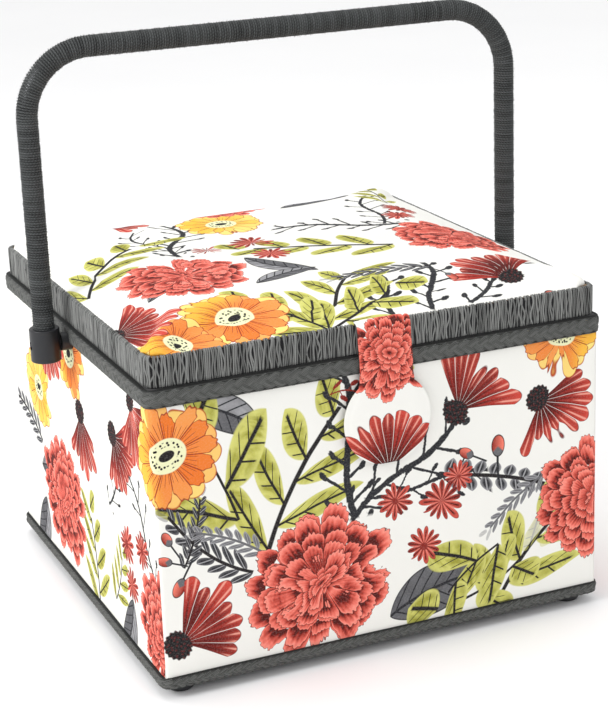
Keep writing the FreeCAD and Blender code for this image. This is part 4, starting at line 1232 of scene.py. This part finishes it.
def make_tab(material):
    """A round-ended cloth tab that comes out over the lid's edge and hangs in front of the braid."""
    low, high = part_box("closure_tab")
    radius = (high[0] - low[0]) / 2
    half_neck = 17.5 * MM
    centre = low[2] + radius
    front = low[1]
    join_up = centre + math.sqrt(radius**2 - half_neck**2)
    over_edge = [(-LID_HALF + y * MM, BAND_TOP + z * MM) for y, z in
                 ((3.2, 0.9), (1.2, 1.3), (-0.6, 0.7), (-1.6, -1.2), (-1.9, -5), (-2.2, -11))]
    past_braid = [(-LID_HALF - 3.2 * MM, BAND_LOW + 1 * MM), (-LID_HALF - 3.9 * MM, BAND_LOW - 6 * MM)]
    hanging = [(front + 1.9 * MM, z) for z in (BAND_LOW - 14 * MM, centre, low[2] + 0.5 * MM)]
    path = np.array(over_edge + past_braid + hanging)
    knots = np.concatenate([[0], np.cumsum(np.linalg.norm(np.diff(path, axis=0), axis=1))])
    run = np.concatenate([np.linspace(0, knots[-1] - radius, 60)[:-1],
                          knots[-1] - radius * np.cos(np.linspace(0, math.pi / 2, 34))])
    back_y = np.interp(run, knots, path[:, 0])
    height = np.interp(run, knots, path[:, 1])
    for _ in range(3):
        back_y[1:-1] = (back_y[:-2] + 2 * back_y[1:-1] + back_y[2:]) / 4
        height[1:-1] = (height[:-2] + 2 * height[1:-1] + height[2:]) / 4
    height[-1] = low[2] + 0.4 * MM
    drop = np.clip(radius**2 - (height - centre) ** 2, (1.2 * MM) ** 2, None)
    half_wide = np.where(height > join_up, half_neck, np.sqrt(drop))
    blend = np.clip((height - join_up + 2 * MM) / (9 * MM), 0, 1)
    half_wide = half_wide + (1 - blend) * np.where(height > join_up, 1.2 * MM, 0)
    across = np.sin(np.linspace(-math.pi / 2, math.pi / 2, 31))
    tangent_y, tangent_z = np.gradient(back_y), np.gradient(height)
    length = np.hypot(tangent_y, tangent_z)
    normal_y, normal_z = tangent_z / length, -tangent_y / length
    points, cloth = [], []
    from_end = run[-1] - run
    seam = 1 - np.abs(across) ** 6
    for front_side in (0, 1):
        for i in range(len(run)):
            end = min(1.0, (from_end[i] / (2.5 * MM)) ** 0.5)
            inset = np.minimum(half_wide[i] * (1 - np.abs(across)), max(from_end[i], 0))
            stitch = -0.28 * np.exp(-((inset - 3.0 * MM) / (0.7 * MM)) ** 2)
            thick = front_side * (0.95 + 0.55 * seam + stitch) * MM * end
            y = back_y[i] + normal_y[i] * thick
            z = height[i] + normal_z[i] * thick
            points.extend(np.column_stack([across * half_wide[i], y, z]))
            up = np.full(len(across), (low[2] + from_end[i]) / MM)
            cloth.extend(np.column_stack([across * half_wide[i] / MM, up, np.zeros(len(across))]))
    faces = shell_faces(len(run), len(across))
    tab = new_piece("closure_tab_cloth", points, faces, None, material)
    set_attribute(tab, "cloth", cloth)
    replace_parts(tab, "closure_tab")
    joints = {joint["name"]: joint for joint in frame["record"]["behaviour"]["joints"]}
    axis = joints["tab_lift"]["pos_m"]
    fold_y, fold_z = axis[1], axis[2]
    fold_z + 2 * MM
    fold_z - 5 * MM
    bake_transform(tab)


# ---------------------------------------------------------------- linings and soft pieces inside

def fold_ripple(u, v, seed):
    """Small uneven waves of glued cloth, in mm, at places u, v in mm."""
    return (0.10 * np.sin(u * 0.041 + seed) * np.sin(v * 0.057 + 2.1 * seed)
            + 0.06 * np.sin(u * 0.11 + v * 0.07 + seed) + 0.04 * np.sin(u * 0.23 - v * 0.16 + 3 * seed))


def make_wall_lining(material):
    """Lining cloth round the inside of the walls, smoother along its top edge."""
    low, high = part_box("wall_lining")
    corner = 3 * MM
    columns = 480
    length = ring_length(INNER_HALF, corner)
    run = np.linspace(0, length, columns + 1)[:-1]
    levels = np.append(np.linspace(low[2] + 0.3 * MM, high[2] - 0.8 * MM, 60), [high[2] - 0.3 * MM, high[2]])
    points = np.zeros((len(levels), columns, 3))
    cloth = np.zeros_like(points)
    flat, normal = ring_at(INNER_HALF - 0.1 * MM, corner, run)
    for row, height in enumerate(levels):
        ripple = fold_ripple(run / MM, height / MM, 1.7) * (1 if row < 56 else 0.3) * MM
        lip = 0.25 * MM if row == len(levels) - 1 else 0.0
        points[row, :, :2] = flat - normal * (0.15 * MM + (ripple + 0.15 * MM).clip(0) - lip)[:, None]
        points[row, :, 2] = height
        cloth[row, :, 0] = run / MM
        cloth[row, :, 1] = height / MM
    lining = solid_ring_sheet("wall_lining_cloth", points, 0.45 * MM, cloth, "box", material)
    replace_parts(lining, "wall_lining")


def solid_ring_sheet(name, outer, thick, cloth, body, material):
    """A closed band of cloth: outer is a (rows, columns, 3) grid that joins up round its columns."""
    rows, columns = outer.shape[:2]
    along = np.roll(outer, -1, 1) - np.roll(outer, 1, 1)
    up = np.gradient(outer, axis=0)
    normal = np.cross(along, up)
    normal /= np.linalg.norm(normal, axis=2, keepdims=True)
    inner = outer - normal * thick
    count = rows * columns
    faces = grid_faces(rows, columns, closed=True)
    faces = faces + [tuple(i + count for i in reversed(face)) for face in faces]
    top = (rows - 1) * columns
    for j in range(columns):
        k = (j + 1) % columns
        faces.append((k, j, j + count, k + count))
        faces.append((top + j, top + k, top + k + count, top + j + count))
    points = np.concatenate([outer.reshape(-1, 3), inner.reshape(-1, 3)])
    piece = new_piece(name, points, faces, body, material)
    set_attribute(piece, "cloth", np.concatenate([cloth.reshape(-1, 3)] * 2))
    return piece


def flat_cloth(name, node, body, material, corner, rumple, facing):
    """A flat cloth with rounded corners filling a node's footprint; facing is 1 for up and -1 for down."""
    low, high = (np.array(place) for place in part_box(node))
    share = np.linspace(-1, 1, 110)
    u, v = np.meshgrid(share, share)
    half = (high[:2] - low[:2]) / 2 - 0.4 * MM
    x, y = u * half[0], v * half[1]
    cx = np.clip(x, corner - half[0], half[0] - corner)
    cy = np.clip(y, corner - half[1], half[1] - corner)
    dx, dy = x - cx, y - cy
    far = np.hypot(dx, dy)
    square = np.maximum(np.abs(dx), np.abs(dy))
    pull = np.where(far > 1e-9, square / np.maximum(far, 1e-9), 1.0)
    x, y = cx + dx * pull, cy + dy * pull
    middle = (low[:2] + high[:2]) / 2
    surface = high[2] if facing > 0 else low[2]
    depth = (fold_ripple(x / MM * 1.4, y / MM * 1.4, 2.3) - 0.12) * rumple * MM
    points = np.dstack([x + middle[0], y + middle[1], surface + facing * (depth - 0.1 * MM)])
    cloth = np.dstack([x / MM, y / MM, np.zeros_like(x)])
    if facing < 0:
        points, cloth = points[:, ::-1], cloth[:, ::-1]
    piece = solid_sheet(name, points, 0.5 * MM, cloth, body, material)
    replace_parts(piece, node)


def make_pocket(material, band_material):
    """The lid's gathered pocket: closely pleated cloth on an elastic top edge."""
    low, high = (np.array(place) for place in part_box("lid_pocket"))
    columns, rows = 420, 40
    share = np.linspace(0, 1, columns)
    up = np.linspace(0, 1, rows)
    wide, tall = high[0] - low[0], high[1] - low[1]
    points = np.zeros((rows, columns, 3))
    cloth = np.zeros_like(points)
    pleats = share * TURN * 34 + 0.9 * np.sin(share * 21)
    edge_fade = np.clip(np.minimum(share, 1 - share) * 60, 0, 1)
    room = (high[2] - low[2]) - 1.0 * MM
    for row, t in enumerate(up):
        drift = 0.6 * np.sin(t * 2.2 + share * 9)
        wave = np.sin(pleats + drift) * (0.8 + 0.2 * np.sin(share * 47))
        loose = 0.25 + 0.75 * np.sin(math.pi * (t * 0.86 + 0.04))
        points[row, :, 0] = low[0] + 0.5 * MM + share * (wide - 1.0 * MM)
        points[row, :, 1] = low[1] + 0.6 * MM + t * (tall - 1.2 * MM)
        points[row, :, 2] = high[2] - 0.75 * MM - room * (0.5 + 0.5 * wave) * loose * edge_fade * 0.9
        cloth[row, :, 0] = share * wide * 1.5 / MM
        cloth[row, :, 1] = t * tall / MM
    points, cloth = points[:, ::-1], cloth[:, ::-1]
    pocket = solid_sheet("lid_pocket_cloth", points, 0.35 * MM, cloth, "lid", material)
    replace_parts(pocket, "lid_pocket")
    threads = Threads()
    steps = 200
    line = np.column_stack([np.linspace(low[0] + 1 * MM, high[0] - 1 * MM, steps),
                            np.full(steps, high[1] - 1.2 * MM),
                            low[2] + 0.9 * MM + 0.12 * MM * np.sin(np.arange(steps) * 0.9)])
    threads.add(line, 0.8 * MM, np.tile([0.0, 0.0, -1.0], (steps, 1)), sides=10, shade=0.6)
    threads.piece("lid_pocket_elastic", "lid", band_material)


def make_pincushion(material, seam_material):
    """A puffed square cushion under the lid's lining, seamed round its middle."""
    low, high = (np.array(place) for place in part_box("pincushion"))
    middle, half = (low + high) / 2, (high - low) / 2
    size = 61
    u, v = np.meshgrid(np.linspace(-1, 1, size), np.linspace(-1, 1, size))
    x = u * half[0] * (1 - 0.045 * (1 - v**2)) * 0.99
    y = v * half[1] * (1 - 0.045 * (1 - u**2)) * 0.99
    hump = ((1 - np.abs(u) ** 2.6) * (1 - np.abs(v) ** 2.6)) ** 0.55
    tuck = 0.05 * np.sin(u * 17 + 3 * v) * np.abs(v) ** 6 + 0.05 * np.sin(v * 17 + 2 * u) * np.abs(u) ** 6
    points, cloth = [], []
    for layer in (1, -1):
        z = middle[2] + layer * half[2] * 0.98 * np.clip(hump + tuck * hump, 0, 1)
        points.extend(np.dstack([x + middle[0], y + middle[1], z]).reshape(-1, 3))
        cloth.extend(np.dstack([x / MM, (y + middle[1]) / MM, np.zeros_like(x)]).reshape(-1, 3))
    cushion = new_piece("pincushion_cloth", points, shell_faces(size, size), "lid", material)
    set_attribute(cushion, "cloth", cloth)
    merge = cushion.modifiers.new("seam", "WELD")
    merge.merge_threshold = 0.05 * MM
    apply_modifiers(cushion)
    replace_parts(cushion, "pincushion")
    line = [points[index] for index in rim_of(size, size)[:-1]]
    threads = Threads()
    threads.add(line, 0.55 * MM, np.tile([0.0, 0.0, 1.0], (len(line), 1)), sides=8, closed=True)
    threads.piece("pincushion_seam", "lid", seam_material)


# ---------------------------------------------------------------- CAD nodes that keep their shape

def paint(material, *nodes):
    for node in nodes:
        thing = frame["nodes"][node]
        thing.data.materials.clear()
        thing.data.materials.append(material)


def build():
    yarn = yarn_material("grey_yarn", (0.010, 0.0105, 0.010), (0.20, 0.205, 0.195))
    band = yarn_material("band_yarn", (0.008, 0.0085, 0.008), (0.30, 0.305, 0.295))
    dark = plain_cloth("band_backing", (0.012, 0.012, 0.014), (0.006, 0.006, 0.007))
    wrap = yarn_material("handle_yarn", (0.006, 0.0065, 0.007), (0.105, 0.112, 0.112), ply=3.4)
    make_braids(yarn)
    make_lid_band(band, dark)
    make_handle_wrap(wrap)
    prints = (("front", FRONT_PRINT), ("right", RIGHT_PRINT), ("back", BACK_PRINT), ("left", LEFT_PRINT))
    for side, (place, motifs) in enumerate(prints):
        wall_cover(f"{place}_panel", f"{place}_cover", side, printed_cloth(f"{place}_print", motifs))
    make_lid_pad(printed_cloth("lid_print", LID_PRINT))
    make_tab(printed_cloth("tab_print", TAB_PRINT))
    lining = plain_cloth("lining_cotton", (0.80, 0.74, 0.62), (0.66, 0.60, 0.49))
    make_wall_lining(lining)
    flat_cloth("floor_lining_cloth", "floor_lining", "box", lining, 3 * MM, 1.6, 1)
    flat_cloth("lid_lining_cloth", "lid_lining", "lid", lining, 3 * MM, 1.2, -1)
    base = plain_cloth("base_cotton", (0.055, 0.055, 0.062), (0.025, 0.025, 0.030))
    flat_cloth("base_cloth", "base_cover", "box", base, 2.5 * MM, 0.3, -1)
    make_pocket(lining, yarn)
    make_pincushion(printed_cloth("cushion_print", CUSHION_PRINT), yarn)
    plastic = moulded_plastic("black_plastic", (0.012, 0.012, 0.014), 0.45)
    paint(plastic, "feet", "left_pivot_spacer", "right_pivot_spacer")
    paint(moulded_plastic("socket_plastic", (0.008, 0.0085, 0.011), 0.40), "left_socket", "right_socket")
    paint(moulded_plastic("tray_plastic", (0.80, 0.76, 0.66), 0.24, 0.05), "left_tray", "right_tray")
    steel = brushed_metal("plated_steel", (0.62, 0.60, 0.56))
    paint(steel, "foot_screws", "hinge_box_screws", "hinge_lid_screws", "left_hinge_pin", "right_hinge_pin",
          "left_hinge_box_leaf", "left_hinge_lid_leaf", "right_hinge_box_leaf", "right_hinge_lid_leaf",
          "left_pivot_nut", "right_pivot_nut")
    paint(brushed_metal("dark_steel", (0.16, 0.16, 0.17), 0.4),
          "left_pivot_screw", "right_pivot_screw", "handle_core")
    paint(brushed_metal("snap_metal", (0.75, 0.74, 0.72), 0.22), "box_snap", "tab_snap")
    paint(raw_board("pressed_board"), "bottom_board", "lid_board", "front_tray_ledge", "back_tray_ledge")
    paint(plain_cloth("edge_cotton", (0.020, 0.020, 0.022), (0.010, 0.010, 0.011)),
          "front_board", "back_board", "left_board", "right_board", "lid_frame")


def add_floor():
    material = Tree("floor")
    place = material.field("TexCoord", "Object")
    tone = material.mix(material.noise(place, 3.0), (0.88, 0.88, 0.885), (0.92, 0.92, 0.922))
    floor = new_piece("floor", [(-6, -6, 0), (6, -6, 0), (6, 6, 0), (-6, 6, 0)], [(0, 1, 2, 3)], None,
                      material.finish(tone, 0.7))


add_camera()
add_studio()
build()
add_floor()
